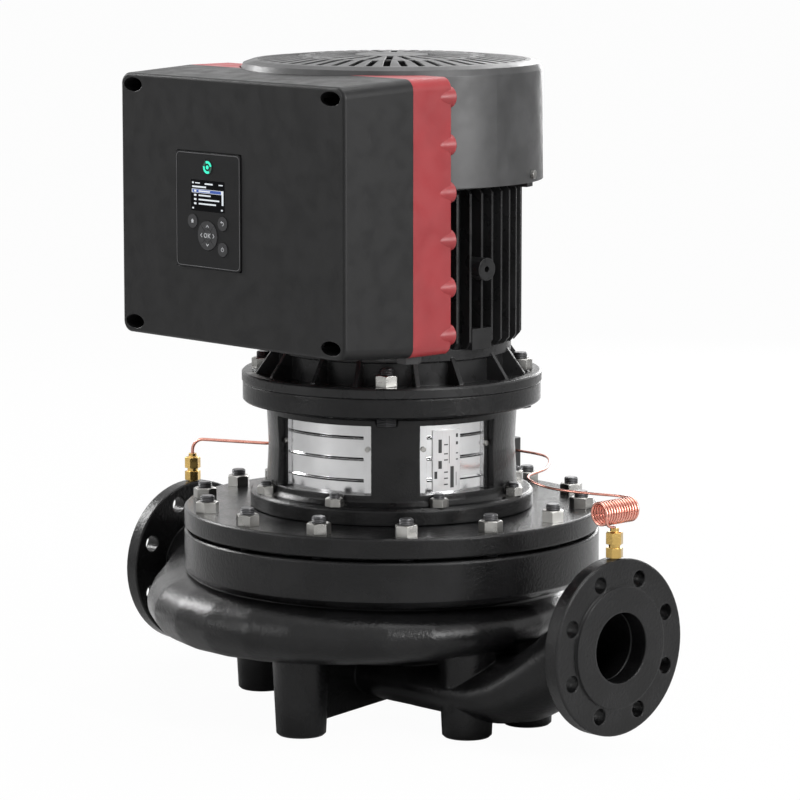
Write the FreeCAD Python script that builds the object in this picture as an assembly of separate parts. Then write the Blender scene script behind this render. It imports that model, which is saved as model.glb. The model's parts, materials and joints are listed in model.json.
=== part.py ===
import FreeCAD, Part
import math
import os

# In-line circulation pump with a vertical shaft, standing on the feet of its casing.
# X runs along the pipe, Z is the shaft axis, and the control box faces -Y.
# The origin is on the shaft axis in the plane of the feet. All sizes are in millimetres.

# Pipe connections
AXIS_HEIGHT = 125.0
PORT_TO_PORT = 750.0
PORT_BORE = 80.0
FLANGE_OD = 200.0
FLANGE_THICKNESS = 22.0
FLANGE_PCD = 160.0
FLANGE_HOLE = 19.0
FLANGE_HOLES = 8
DISCHARGE_REAMING = 0.2
FACE_OD = 138.0
FACE_HEIGHT = 3.0
NECK_WALL = 11.0
BORE_STEP = 1.0
GAUGE_HOLE = 11.0
GAUGE_DEPTH = 22.0

# Casing
CASING_WALL = 8.0
CASING_OD = 486.0
CASING_TOP = 218.0
CASING_RIM_BOTTOM = 164.0
JOINT_GAP = 3.5
SCROLL_START = 6.0
SCROLL_GROWTH = 58.0
SCROLL_FLATNESS = 0.72
SCROLL_FIRST_ANGLE = 80.0
SCROLL_LAST_ANGLE = -150.0
SCROLL_KEYS = 11
SCROLL_SECTIONS = 24
SCROLL_POWER = 0.75
BODY_BOTTOM = 84.0
EYE_FLOOR = 82.0
SUCTION_WIDTH = 150.0
SUCTION_HEIGHT = 58.0
SUCTION_CENTRE = 51.0
SUCTION_END = -78.0
SUCTION_SECTIONS = 15
FOOT_SPACING_Y = 96.0
FOOT_RADIUS = 30.0
SIDE_FOOT_X = 42.0
FOOT_THREAD = 14.0
FOOT_THREAD_DEPTH = 18.0
DRAIN_THREAD = 16.0
DRAIN_LENGTH = 12.0
DRAIN_HEAD = 22.0
DRAIN_X = 110.0

# Cover over the casing
COVER_THICKNESS = 24.0
COVER_WEB = 13.0
COVER_SPIGOT = 14.0
SPIGOT_CLEARANCE = 0.3
COVER_FLOOR = 150.0
COVER_STUDS = 14
O_RING_SECTION = 4.0
GROOVE_WIDTH = 5.0
GROOVE_DEPTH = 4.4
COVER_WELL_RADIUS = 100.0
SEAL_BORE = 56.0

# Studs, bolts and nuts
STUD = 16.0
STUD_HOLE = 17.5
NUT_FLATS = 24.0
NUT_HEIGHT = 13.0
STUD_END = 7.0
STUD_DEPTH = 26.0
BOLT_HEAD_FLATS = 22.0
BOLT_HEAD_HEIGHT = 10.0
SMALL_STUD = 12.0
SMALL_NUT_FLATS = 19.0
SMALL_NUT_HEIGHT = 10.0
POCKET_CLEARANCE = 0.6

# Motor stool
STOOL_LOW_OD = 331.0
STOOL_LOW_THICKNESS = 20.0
STOOL_TOP_THICKNESS = 23.0
STOOL_HEIGHT = 147.0
STOOL_WAIST_OD = 288.0
STOOL_WALL = 9.0
STOOL_STUDS = 8
STOOL_STUD_PCD = 310.0
WINDOW_BOTTOM = 274.0
WINDOW_TOP = 354.0
FRONT_WINDOW_ANGLE = -79.5
FRONT_WINDOW_SPAN = 55.0
SIDE_WINDOW_ANGLE = -9.5
SIDE_WINDOW_SPAN = 41.0
GUARD_THICKNESS = 1.5
GUARD_LAP = 3.0
BEAD_DEPTH = 1.6
BEAD_HEIGHT = 4.0
BEAD_PITCH = 24.5
GUARD_EDGE_ANGLE = 3.4
GUARD_EDGE_DEPTH = 2.5

# Motor
MOTOR_FLANGE_THICKNESS = 12.0
MOTOR_BOLTS = 4
MOTOR_BOLT_ANGLE = 45.0
MOTOR_BOLT_HOLE = 18.5
MOTOR_SPIGOT_OD = 250.0
MOTOR_SPIGOT = 5.0
SHIELD_HEIGHT = 49.0
FRAME_OD = 266.0
FRAME_WALL = 20.0
FIN_HEIGHT = 18.0
LIFT_BOSS_Z = 530.0
LIFT_BOSS_ANGLE = 0.0
LIFT_BOSS_REACH = 8.0
LIFT_BOSS_RADIUS = 13.0
FIN_THICKNESS = 3.0
FRAME_HEIGHT = 182.0
REAR_SHIELD_HEIGHT = 14.0
FAN_COVER_LAP = 24.5
FAN_COVER_SHEET = 2.0
FAN_COVER_BOTTOM = 625.0
FAN_COVER_TOP = 760.0
FAN_COVER_DOME = 8.0
FAN_SCREW_ANGLES = (23.0, 90.0, 157.0)
GRILLE_SLOTS = 24
GRILLE_SLOT = 8.0
STATOR_BORE = 142.0
AIR_GAP = 0.6

# Shafts, bearings and coupling
MOTOR_SHAFT = 38.0
MOTOR_SHAFT_REACH = 80.0
PUMP_SHAFT = 28.0
SHAFT_GAP = 6.0
BEARING_OD = 80.0
BEARING_WIDTH = 18.0
BEARING_CLEARANCE = 0.05
RUNNING_GAP = 0.3
COUPLING_OD = 84.0
COUPLING_LENGTH = 92.0
FAN_OD = 290.0
FAN_BLADES = 8

# Pressure lines and sensor
PIPE_RADIUS = 2.0
PIPE_LEVEL = 277.0
FITTING_FLATS = 17.0
FITTING_HEIGHT = 34.0
COIL_RADIUS = 14.0
COIL_TURNS = 13
COIL_PITCH = 4.2
COIL_VALLEY = 1.5
SENSOR_X = -10.0
SENSOR_Y = 172.0
SENSOR_WIDTH = 74.0
SENSOR_DEPTH = 32.0
SENSOR_HEIGHT = 40.0

# Impeller and shaft seal
IMPELLER_OUTLET = 18.0
SHROUD = 5.0
EYE_RADIUS = 50.0
EYE_WALL = 4.0
IMPELLER_VANES = 6
VANE_THICKNESS = 3.0
VANE_SWEEP = -75.0
WEAR_RING_WALL = 5.0
WEAR_RING_HEIGHT = 15.0
EYE_DEPTH = 32.0
SEAL_HEAD_OD = 44.0

# Control box
BOX_WIDTH = 392.0
BOX_STANDOFF = 16.0
BOX_COVER_DEPTH = 98.0
BOX_BASE_DEPTH = 57.0
BOX_BOTTOM = 444.0
BOX_TOP = 753.0
BOX_CORNER = 13.0
BOX_RIM = 4.0
BOX_SCREW_INSET = 27.0
BOX_SCREW_EDGE = 18.0
BOX_WELL_DEPTH = 30.0
BOX_LEDGE = 18.0
BOX_HALF_FLAT = 103.0
BOX_FIN_ANGLE = 46.0
BOARD_EDGE = 40.0
BOARD_STAND = 30.0
BOX_DRAFT = 5.0
BOX_WALL = 5.0
CONES = 6
CONE_RADIUS = 12.0
CONE_LENGTH = 42.0
PANEL_WIDTH = 113.0
PANEL_HEIGHT = 132.0
PANEL_X = -36.0
PANEL_Z = 599.0
PANEL_RAISE = 1.5
PANEL_DEPTH = 8.0
KEY_GAP = 0.4
KEY_PROUD = 0.8
KEY_DEPTH = 5.0
KEY_RADIUS = 8.0
OK_RADIUS = 7.0
PAD_RADIUS = 16.5
PAD_Z = -28.0
SIDE_KEY_X = 26.0
UPPER_KEY_Z = -13.0
POWER_KEY_Z = -42.0
WINDOW_WIDTH = 58.0
WINDOW_HEIGHT = 35.0
WINDOW_Z = -1.0
LIGHT_RADIUS = 9.0
LIGHT_Z = 49.0


def vec(x, y, z=0.0):
    return FreeCAD.Vector(x, y, z)


def polar(radius, angle, z=0.0):
    turn = math.radians(angle)
    return vec(radius * math.cos(turn), radius * math.sin(turn), z)


def export(shape, node):
    shape.exportStep("parts/" + node + ".step")


def disc(radius, low, high, x=0.0, y=0.0):
    return Part.makeCylinder(radius, high - low, vec(x, y, low))


def ring(outer, inner, low, high):
    return disc(outer, low, high).cut(disc(inner, low - 1.0, high + 1.0))


def revolve(points):
    """Solid of revolution about Z from (radius, height) corners."""
    corners = [vec(radius, 0.0, height) for radius, height in points]
    face = Part.Face(Part.makePolygon(corners + [corners[0]]))
    return face.revolve(vec(0, 0, 0), vec(0, 0, 1), 360)


def fuse(shapes, refine=True):
    joined = shapes[0].multiFuse(shapes[1:])
    return joined.removeSplitter() if refine else joined


def single(shape):
    """The solid itself where a result is wrapped in a compound."""
    return shape.Solids[0] if len(shape.Solids) == 1 else shape


def turned(shape, angle):
    copy = shape.copy()
    copy.rotate(vec(0, 0, 0), vec(0, 0, 1), angle)
    return copy


def moved(shape, x, y, z=0.0):
    copy = shape.copy()
    copy.translate(vec(x, y, z))
    return copy


def around(shape, count, first=0.0):
    return [turned(shape, first + 360.0 * i / count) for i in range(count)]


def hexagon(flats, low, high):
    corners = [polar(flats / math.sqrt(3.0), 60.0 * i, low) for i in range(7)]
    return Part.Face(Part.makePolygon(corners)).extrude(vec(0, 0, high - low))


def nut(bore, flats, low, high):
    """Hexagon nut with its upper corners turned off."""
    corner = flats / math.sqrt(3.0)
    cap = revolve([(0, low), (corner, low), (corner, high - 1.5), (corner - 2.6, high), (0, high)])
    return hexagon(flats, low, high).common(cap).cut(disc(bore / 2, low - 1, high + 1))


def circle_wire(centre, normal, radius):
    return Part.Wire(Part.makeCircle(radius, centre, normal))


def oval_wire(centre, way, half_width, half_height):
    """Upright oval across a level direction, never higher than it is wide."""
    half_width = max(half_width, half_height + 0.01)
    side = vec(-way.y, way.x).normalize()
    oval = Part.Ellipse(centre + side * half_width, centre + vec(0, 0, half_height), centre)
    return Part.Wire(oval.toShape())


def tube(route, bend, radius):
    """Round tube along straight runs joined by tangent arcs."""
    edges = []
    start = route[0]
    for before, corner, after in zip(route, route[1:], route[2:]):
        into = (corner - before).normalize()
        out = (after - corner).normalize()
        half_turn = into.getAngle(out) / 2
        shorter = min((corner - before).Length, (after - corner).Length)
        reach = min(bend * math.tan(half_turn), 0.45 * shorter)
        first = corner - into * reach
        last = corner + out * reach
        centre_way = (out - into).normalize()
        arc_radius = reach / math.tan(half_turn)
        middle = corner + centre_way * (arc_radius / math.cos(half_turn) - arc_radius)
        edges.append(Part.LineSegment(start, first).toShape())
        edges.append(Part.Arc(first, middle, last).toShape())
        start = last
    edges.append(Part.LineSegment(start, route[-1]).toShape())
    path = Part.Wire(edges)
    section = circle_wire(route[0], (route[1] - route[0]).normalize(), radius)
    return path.makePipeShell([section], True, False)


# Values that follow from the driving dimensions
COVER_BORE = CASING_OD - 86.0
COVER_STUD_PCD = CASING_OD - 40.0
JOINT_SEAT_OD = CASING_OD - 62.0
BODY_RADIUS = COVER_BORE / 2 - 4.0
SCROLL_BASE = COVER_BORE / 2 - 25.0
IMPELLER_OD = COVER_BORE - 84.0
FOOT_SPACING_X = CASING_OD - 130.0
SIDE_FOOT_Y = CASING_OD / 2 - 63.0
MOTOR_BOLT_PCD = MOTOR_SPIGOT_OD + 50.0
MOTOR_FLANGE_OD = MOTOR_BOLT_PCD + 50.0
STOOL_TOP_OD = MOTOR_FLANGE_OD - 2.0
SHIELD_TOP_OD = FRAME_OD + 4.0
FRAME_BORE = FRAME_OD - 2 * FRAME_WALL
FIN_OD = FRAME_OD + 2 * FIN_HEIGHT
FAN_COVER_OD = FIN_OD + 2 * FAN_COVER_LAP
BOX_SPLIT = FRAME_OD / 2 + BOX_STANDOFF
BOX_FRONT = BOX_SPLIT + BOX_COVER_DEPTH
BOX_REAR = BOX_SPLIT - BOX_BASE_DEPTH
COVER_TOP = CASING_TOP + COVER_THICKNESS
STOOL_TOP = COVER_TOP + STOOL_HEIGHT
FLANGE_X = PORT_TO_PORT / 2
SHIELD_BASE = STOOL_TOP + MOTOR_FLANGE_THICKNESS
FRAME_BOTTOM = STOOL_TOP + SHIELD_HEIGHT
FRAME_TOP = FRAME_BOTTOM + FRAME_HEIGHT
REAR_TOP = FRAME_TOP + REAR_SHIELD_HEIGHT
MOTOR_SHAFT_END = STOOL_TOP - MOTOR_SHAFT_REACH
PUMP_SHAFT_TOP = MOTOR_SHAFT_END - SHAFT_GAP
COUPLING_BOTTOM = PUMP_SHAFT_TOP - 22.0
COUPLING_TOP = COUPLING_BOTTOM + COUPLING_LENGTH
EYE_BOTTOM = AXIS_HEIGHT - IMPELLER_OUTLET / 2 - EYE_DEPTH
HUB_TOP = AXIS_HEIGHT + 36.0
GAUGE_X = FLANGE_X - FLANGE_THICKNESS / 2 - 1.0
COIL_LENGTH = COIL_TURNS * COIL_PITCH
GROOVE_LEVEL = CASING_TOP - COVER_SPIGOT / 2
STOOL_LOW_TOP = COVER_TOP + STOOL_LOW_THICKNESS
STOOL_TOP_LOW = STOOL_TOP - STOOL_TOP_THICKNESS
GUARD_RADIUS = STOOL_WAIST_OD / 2 - STOOL_WALL - RUNNING_GAP
PANEL_FACE = -BOX_FRONT - PANEL_RAISE
ROUND_KEYS = {"key_ok": (0.0, PAD_Z, OK_RADIUS),
              "key_home": (-SIDE_KEY_X, UPPER_KEY_Z, KEY_RADIUS),
              "key_back": (SIDE_KEY_X, UPPER_KEY_Z, KEY_RADIUS),
              "key_power": (SIDE_KEY_X, POWER_KEY_Z, KEY_RADIUS)}
ARROW_KEYS = {"key_right": 0.0, "key_up": 90.0, "key_left": 180.0, "key_down": 270.0}
WINDOWS = ((FRONT_WINDOW_ANGLE, FRONT_WINDOW_SPAN, "front"),
           (SIDE_WINDOW_ANGLE, SIDE_WINDOW_SPAN, "right"),
           (FRONT_WINDOW_ANGLE + 180.0, FRONT_WINDOW_SPAN, "back"),
           (SIDE_WINDOW_ANGLE + 180.0, SIDE_WINDOW_SPAN, "left"))


# Pump casing

def scroll_half_width(angle):
    share = (SCROLL_FIRST_ANGLE - angle) / (SCROLL_FIRST_ANGLE - SCROLL_LAST_ANGLE)
    return SCROLL_START + SCROLL_GROWTH * share ** SCROLL_POWER


def smooth_through(values):
    """Curve through a few key values, read anywhere between 0 and 1."""
    curve = Part.BSplineCurve()
    count = len(values) - 1
    curve.interpolate(Points=values, Parameters=[i / count for i in range(count + 1)])
    return curve


def outward(solid):
    """The same solid with its faces looking out."""
    if solid.Volume < 0:
        solid.reverse()
    return solid


def scroll_loft(shrink):
    """Spiral duct round the impeller that grows and then bends out to the discharge flange."""
    centres = []
    sizes = []
    step = (SCROLL_LAST_ANGLE - SCROLL_FIRST_ANGLE) / (SCROLL_KEYS - 1)
    for i in range(SCROLL_KEYS):
        angle = SCROLL_FIRST_ANGLE + i * step
        full = scroll_half_width(angle)
        centres.append(polar(SCROLL_BASE + full - CASING_WALL, angle, AXIS_HEIGHT))
        sizes.append(vec(full, SCROLL_FLATNESS * full))
    end = centres[-1]
    neck_x = -FLANGE_X + FLANGE_THICKNESS
    for share, size in ((0.34, 0.55), (0.68, 0.15), (1.0, 0.0)):
        x = end.x + (neck_x - end.x) * share
        y = end.y * (1.0 - share) ** 1.45
        centres.append(vec(x, y, AXIS_HEIGHT))
        neck = vec(PORT_BORE / 2 + NECK_WALL, PORT_BORE / 2 + NECK_WALL)
        sizes.append(neck + (sizes[SCROLL_KEYS - 1] - neck) * size)
    path = smooth_through(centres)
    growth = smooth_through(sizes)
    sections = []
    for i in range(SCROLL_SECTIONS + 1):
        share = i / SCROLL_SECTIONS
        size = growth.value(share)
        wall = shrink and CASING_WALL + (NECK_WALL + BORE_STEP - CASING_WALL) * share ** 4
        way = vec(-1, 0) if i == SCROLL_SECTIONS else path.tangent(share)[0]
        wide = max(size.x - wall, 0.4 * size.x)
        tall = max(size.y - wall, 0.4 * size.y)
        sections.append(oval_wire(path.value(share), way, wide, tall))
    return outward(Part.makeLoft(sections, True, True))


def suction_loft(shrink):
    """Duct from the suction flange, down and under the spiral to the impeller eye."""
    neck = PORT_BORE / 2 + NECK_WALL
    wide = SUCTION_WIDTH / 2 + CASING_WALL
    tall = SUCTION_HEIGHT / 2 + CASING_WALL
    drop = AXIS_HEIGHT - SUCTION_CENTRE
    flange_back = FLANGE_X - FLANGE_THICKNESS
    keys = ((flange_back, AXIS_HEIGHT, neck, neck),
            (flange_back - 32.0, AXIS_HEIGHT - 0.1 * drop, neck + 1.0, neck - 1.0),
            (flange_back - 78.0, AXIS_HEIGHT - 0.55 * drop, neck + 11.0, neck - 5.0),
            (flange_back - 130.0, AXIS_HEIGHT - 0.94 * drop, wide - 5.0, tall + 3.0),
            (flange_back - 200.0, SUCTION_CENTRE, wide, tall),
            (80.0, SUCTION_CENTRE, wide + 1.0, tall),
            (10.0, SUCTION_CENTRE, wide - 1.0, tall),
            (-42.0, SUCTION_CENTRE, wide - 18.0, tall - 4.0),
            (SUCTION_END, SUCTION_CENTRE, wide - 55.0, tall - 20.0))
    places = smooth_through([vec(x, 0, z) for x, z, width, height in keys])
    sizes = smooth_through([vec(width, height, 0) for x, z, width, height in keys])
    sections = []
    for i in range(SUCTION_SECTIONS + 1):
        share = i / SUCTION_SECTIONS
        place = places.value(share)
        size = sizes.value(share)
        neck_wall = NECK_WALL + BORE_STEP
        wall = shrink and neck_wall + (CASING_WALL - neck_wall) * min(4.0 * share, 1.0)
        x = place.x + (shrink if i == SUCTION_SECTIONS else 0.0)
        sections.append(oval_wire(vec(x, 0, place.z), vec(-1, 0), size.x - wall, max(size.y - wall, 4.0)))
    return outward(Part.makeLoft(sections, True, True))


def pipe_flange(side):
    """Round flange with a raised sealing face, on the side of +1 or -1 along X."""
    start = FLANGE_X - FLANGE_THICKNESS
    base = vec(start, 0, AXIS_HEIGHT)
    plate = Part.makeCylinder(FLANGE_OD / 2, FLANGE_THICKNESS - FACE_HEIGHT, base, vec(1, 0, 0))
    plate = plate.makeChamfer(1.5, [edge for edge in plate.Edges if edge.Curve.TypeId == "Part::GeomCircle"])
    face = Part.makeCylinder(FACE_OD / 2, FLANGE_THICKNESS, base, vec(1, 0, 0))
    flange = fuse([plate, face])
    return flange if side > 0 else turned(flange, 180.0)


def flange_holes(side):
    """Bolt holes, bore and gauge hole; the discharge side is reamed a hair wider than the suction side."""
    start = FLANGE_X - FLANGE_THICKNESS - 12.0
    radius = FLANGE_HOLE / 2 if side > 0 else FLANGE_HOLE / 2 + DISCHARGE_REAMING
    holes = []
    for i in range(FLANGE_HOLES):
        turn = math.radians((i + 0.5) * 360.0 / FLANGE_HOLES)
        y = FLANGE_PCD / 2 * math.cos(turn)
        z = AXIS_HEIGHT + FLANGE_PCD / 2 * math.sin(turn)
        holes.append(Part.makeCylinder(radius, FLANGE_THICKNESS + 24.0, vec(start, y, z), vec(1, 0, 0)))
    mouth = vec(start + 11.0, 0, AXIS_HEIGHT)
    bore = Part.makeCylinder(PORT_BORE / 2, FLANGE_THICKNESS + 10.0, mouth, vec(1, 0, 0))
    rim = AXIS_HEIGHT + FLANGE_OD / 2
    gauge = disc(GAUGE_HOLE / 2, rim - GAUGE_DEPTH, rim + 5.0, GAUGE_X)
    cutters = holes + [bore, gauge]
    return cutters if side > 0 else [turned(cutter, 180.0) for cutter in cutters]


def foot(x, y, top):
    """Round foot that widens a little towards its root."""
    cone = Part.makeCone(FOOT_RADIUS - 1.5, FOOT_RADIUS + 4.0, top, vec(x, y, 0))
    lip = [edge for edge in cone.Edges if edge.BoundBox.ZMax < 1.0 and edge.Length > FOOT_RADIUS]
    return cone.makeChamfer(2.5, lip)


def foot_places():
    half_x = FOOT_SPACING_X / 2
    half_y = FOOT_SPACING_Y / 2
    return ((half_x, -half_y), (half_x, half_y), (-half_x, -half_y), (-half_x, half_y))


def side_web(side):
    """Upright web from a side foot to the middle of the casing."""
    length = math.hypot(SIDE_FOOT_X, SIDE_FOOT_Y)
    web = Part.makeBox(length, 14.0, 80.0, vec(0, -7.0, 11.0))
    return turned(web, math.degrees(math.atan2(side * SIDE_FOOT_Y, SIDE_FOOT_X)))


def casing_outer():
    rim = revolve([(0, BODY_BOTTOM), (120, BODY_BOTTOM - 12), (BODY_RADIUS - 26, BODY_BOTTOM),
                   (BODY_RADIUS - 6, BODY_BOTTOM + 14), (BODY_RADIUS, BODY_BOTTOM + 34),
                   (BODY_RADIUS, CASING_RIM_BOTTOM - 14), (CASING_OD / 2 - 8, CASING_RIM_BOTTOM - 2),
                   (CASING_OD / 2, CASING_RIM_BOTTOM + 6), (CASING_OD / 2, CASING_TOP - JOINT_GAP - 2),
                   (CASING_OD / 2 - 2, CASING_TOP - JOINT_GAP), (JOINT_SEAT_OD / 2, CASING_TOP - JOINT_GAP),
                   (JOINT_SEAT_OD / 2, CASING_TOP), (0, CASING_TOP)])
    hub = disc(78.0, SUCTION_CENTRE, BODY_BOTTOM + 10.0)
    feet = [foot(x, y, 108.0) for x, y in foot_places()]
    feet += [foot(SIDE_FOOT_X, side * SIDE_FOOT_Y, 112.0) for side in (-1, 1)]
    webs = [side_web(-1), side_web(1)]
    ducts = [scroll_loft(0.0), suction_loft(0.0), pipe_flange(1), pipe_flange(-1)]
    return fuse([rim, hub] + ducts + feet + webs, refine=False)


def casing_inner():
    chamber = revolve([(0, AXIS_HEIGHT - 30), (COVER_BORE / 2 - 28, AXIS_HEIGHT - IMPELLER_OUTLET / 2 - 10),
                       (COVER_BORE / 2 - 12, AXIS_HEIGHT), (COVER_BORE / 2 - 12, CASING_TOP - 26),
                       (COVER_BORE / 2, CASING_TOP - 24), (COVER_BORE / 2, CASING_TOP + 1),
                       (0, CASING_TOP + 1)])
    ring_seat = disc(EYE_RADIUS + EYE_WALL + RUNNING_GAP + WEAR_RING_WALL, EYE_FLOOR, AXIS_HEIGHT)
    step = disc(EYE_RADIUS + EYE_WALL - 1.0, SUCTION_CENTRE, EYE_FLOOR + 1)
    return [chamber, scroll_loft(CASING_WALL), suction_loft(CASING_WALL), ring_seat, step]


def stud_holes(count, pcd, radius, low, high, first):
    return around(disc(radius, low, high, pcd / 2), count, first)


def pump_casing():
    studs = stud_holes(COVER_STUDS, COVER_STUD_PCD, STUD / 2, CASING_TOP - STUD_DEPTH, CASING_TOP + 1,
                       180.0 / COVER_STUDS)
    cutters = casing_inner() + flange_holes(1) + flange_holes(-1) + studs
    cutters += [disc(FOOT_THREAD / 2, -1, FOOT_THREAD_DEPTH, x, y) for x, y in foot_places()]
    cutters.append(moved(turned(disc(DRAIN_THREAD / 2, 0, SUCTION_CENTRE), 40.0), DRAIN_X, 0))
    return single(casing_outer().cut(cutters))



def drain_plug():
    seat = SUCTION_CENTRE - SUCTION_HEIGHT / 2 - CASING_WALL
    head = hexagon(DRAIN_HEAD, seat - 8.0, seat - 0.5)
    shank = disc(DRAIN_THREAD / 2, seat - 0.5, seat + DRAIN_LENGTH - 2.0)
    return moved(fuse([head, shank]), DRAIN_X, 0)


def wear_ring():
    inner = EYE_RADIUS + EYE_WALL + RUNNING_GAP
    return ring(inner + WEAR_RING_WALL, inner, EYE_FLOOR, EYE_FLOOR + WEAR_RING_HEIGHT)


def casing_cover():
    rim = CASING_OD / 2
    spigot = COVER_BORE / 2 - SPIGOT_CLEARANCE
    groove = GROOVE_LEVEL
    half = GROOVE_WIDTH / 2
    profile = [(SEAL_BORE / 2, COVER_FLOOR), (70, COVER_FLOOR), (spigot - 34, COVER_FLOOR + 8),
               (spigot - 8, CASING_TOP - COVER_SPIGOT), (spigot, CASING_TOP - COVER_SPIGOT),
               (spigot, groove - half), (spigot - GROOVE_DEPTH, groove - half),
               (spigot - GROOVE_DEPTH, groove + half), (spigot, groove + half),
               (spigot, CASING_TOP), (rim - 2, CASING_TOP), (rim, CASING_TOP + 2), (rim, COVER_TOP - 2),
               (rim - 2, COVER_TOP), (COVER_WELL_RADIUS, COVER_TOP),
               (COVER_WELL_RADIUS - 10, COVER_TOP - COVER_WEB), (60, COVER_FLOOR + 26),
               (SEAL_BORE / 2 + 14, COVER_FLOOR + 30), (SEAL_BORE / 2 + 14, COVER_TOP + 6),
               (SEAL_BORE / 2, COVER_TOP + 6)]
    cover = revolve(profile)
    holes = stud_holes(COVER_STUDS, COVER_STUD_PCD, STUD_HOLE / 2, CASING_TOP - 1, COVER_TOP + 1,
                       180.0 / COVER_STUDS)
    holes += stud_holes(STOOL_STUDS, STOOL_STUD_PCD, SMALL_STUD / 2, COVER_TOP - 18, COVER_TOP + 1,
                        180.0 / STOOL_STUDS)
    return single(cover.cut(holes))


def cover_o_ring():
    """Ring of eight-sided section, near enough round, lying in the spigot's groove."""
    middle = (COVER_BORE - SPIGOT_CLEARANCE - GROOVE_DEPTH) / 2
    corners = [polar(O_RING_SECTION / 2, 45.0 * i) for i in range(8)]
    return revolve([(middle + corner.x, GROOVE_LEVEL + corner.y) for corner in corners])


def stud_group(count, pcd, radius, low, high, first):
    shank = disc(radius, low, high, pcd / 2)
    tip = [edge for edge in shank.Edges if edge.BoundBox.ZMin > high - 0.5 and edge.Length > radius]
    return Part.makeCompound(around(shank.makeChamfer(1.2, tip), count, first))


def nut_group(count, pcd, bore, flats, low, high, first):
    return Part.makeCompound(around(moved(nut(bore, flats, low, high), pcd / 2, 0), count, first))


# Motor stool and its guards

def stool_radius(height):
    """Outer radius of the waisted wall at a height."""
    middle = COVER_TOP + STOOL_HEIGHT / 2
    share = (height - middle) / (STOOL_HEIGHT / 2)
    return STOOL_WAIST_OD / 2 + 6.0 * share * share


def wedge(angle, span, low, high, reach):
    """Upright wedge of space from the axis, centred on an angle."""
    first = polar(reach, angle - span / 2, low)
    last = polar(reach, angle + span / 2, low)
    edge = Part.makePolygon([vec(0, 0, low), first, polar(reach * 1.2, angle, low), last, vec(0, 0, low)])
    return Part.Face(edge).extrude(vec(0, 0, high - low))


def motor_stool():
    low_rim = STOOL_LOW_OD / 2
    top_rim = STOOL_TOP_OD / 2
    low_top = STOOL_LOW_TOP
    top_low = STOOL_TOP_LOW
    middle = COVER_TOP + STOOL_HEIGHT / 2
    inner = STOOL_WAIST_OD / 2 - STOOL_WALL
    shell = revolve([(72, COVER_TOP), (low_rim - 1.5, COVER_TOP), (low_rim, COVER_TOP + 1.5),
                     (low_rim, low_top - 3), (low_rim - 3, low_top), (stool_radius(low_top) + 4, low_top),
                     (stool_radius(low_top + 5), low_top + 5), (stool_radius(middle), middle),
                     (stool_radius(top_low - 6), top_low - 6), (stool_radius(top_low) + 6, top_low),
                     (top_rim - 2, top_low), (top_rim, top_low + 2), (top_rim, STOOL_TOP - 1),
                     (top_rim - 1, STOOL_TOP), (MOTOR_SPIGOT_OD / 2 + 0.2, STOOL_TOP),
                     (MOTOR_SPIGOT_OD / 2 + 0.2, STOOL_TOP - MOTOR_SPIGOT - 1),
                     (MOTOR_SPIGOT_OD / 2 - 10, STOOL_TOP - MOTOR_SPIGOT - 1),
                     (inner, WINDOW_TOP + GUARD_LAP + 2), (inner, low_top), (72, low_top)])
    cutters = [wedge(angle, span, WINDOW_BOTTOM, WINDOW_TOP, STOOL_TOP_OD) for angle, span, name in WINDOWS]
    cutters += stud_holes(STOOL_STUDS, STOOL_STUD_PCD, SMALL_STUD / 2 + 0.8, COVER_TOP - 1, low_top + 1,
                          180.0 / STOOL_STUDS)
    cutters += stud_holes(MOTOR_BOLTS, MOTOR_BOLT_PCD, MOTOR_BOLT_HOLE / 2, top_low - 1, STOOL_TOP + 1,
                          MOTOR_BOLT_ANGLE)
    nut_room = SMALL_NUT_FLATS / math.sqrt(3.0) + POCKET_CLEARANCE
    cutters += stud_holes(STOOL_STUDS, STOOL_STUD_PCD, nut_room, low_top, low_top + SMALL_NUT_HEIGHT + 4,
                          180.0 / STOOL_STUDS)
    head_room = BOLT_HEAD_FLATS / math.sqrt(3.0) + POCKET_CLEARANCE
    cutters += stud_holes(MOTOR_BOLTS, MOTOR_BOLT_PCD, head_room, top_low - BOLT_HEAD_HEIGHT - 2, top_low,
                          MOTOR_BOLT_ANGLE)
    return single(shell.cut(cutters))


def guard(angle, span):
    """Bent sheet with three pressed beads and a thicker upright edge on both sides, behind a window."""
    outer = GUARD_RADIUS
    inner = outer - GUARD_THICKNESS
    low = WINDOW_BOTTOM - GUARD_LAP
    high = WINDOW_TOP + GUARD_LAP
    middle = (low + high) / 2
    half = BEAD_HEIGHT / 2
    sheet = ring(outer, inner, low, high).common(wedge(angle, span + 4.0, low - 1, high + 1, STOOL_TOP_OD))
    parts = [sheet]
    for level in (middle - BEAD_PITCH, middle, middle + BEAD_PITCH):
        bead = revolve([(inner, level - half), (outer, level - half), (outer + BEAD_DEPTH, level),
                        (outer, level + half), (inner, level + half)])
        parts.append(bead.common(wedge(angle, span - 9.0, low, high, STOOL_TOP_OD)))
    edge = ring(outer + GUARD_EDGE_DEPTH, inner, WINDOW_BOTTOM + 1, WINDOW_TOP - 1)
    for side in (-1, 1):
        at = angle + side * guard_edge(span)
        parts.append(edge.common(wedge(at, GUARD_EDGE_ANGLE, low, high, STOOL_TOP_OD)))
    return single(fuse(parts))


def guard_edge(span):
    """Angle from the middle of a window to the middle of its guard's thick edge."""
    return span / 2 - GUARD_EDGE_ANGLE / 2 - 0.6


def guard_screws():
    screws = []
    level = (WINDOW_BOTTOM + WINDOW_TOP) / 2 + 12.0
    for angle, span, name in WINDOWS:
        for side in (-1, 1):
            head = Part.makeCylinder(3.0, 2.5, vec(GUARD_RADIUS + GUARD_EDGE_DEPTH, 0, level), vec(1, 0, 0))
            screws.append(turned(head, angle + side * guard_edge(span)))
    return Part.makeCompound(screws)


# Motor

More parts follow.
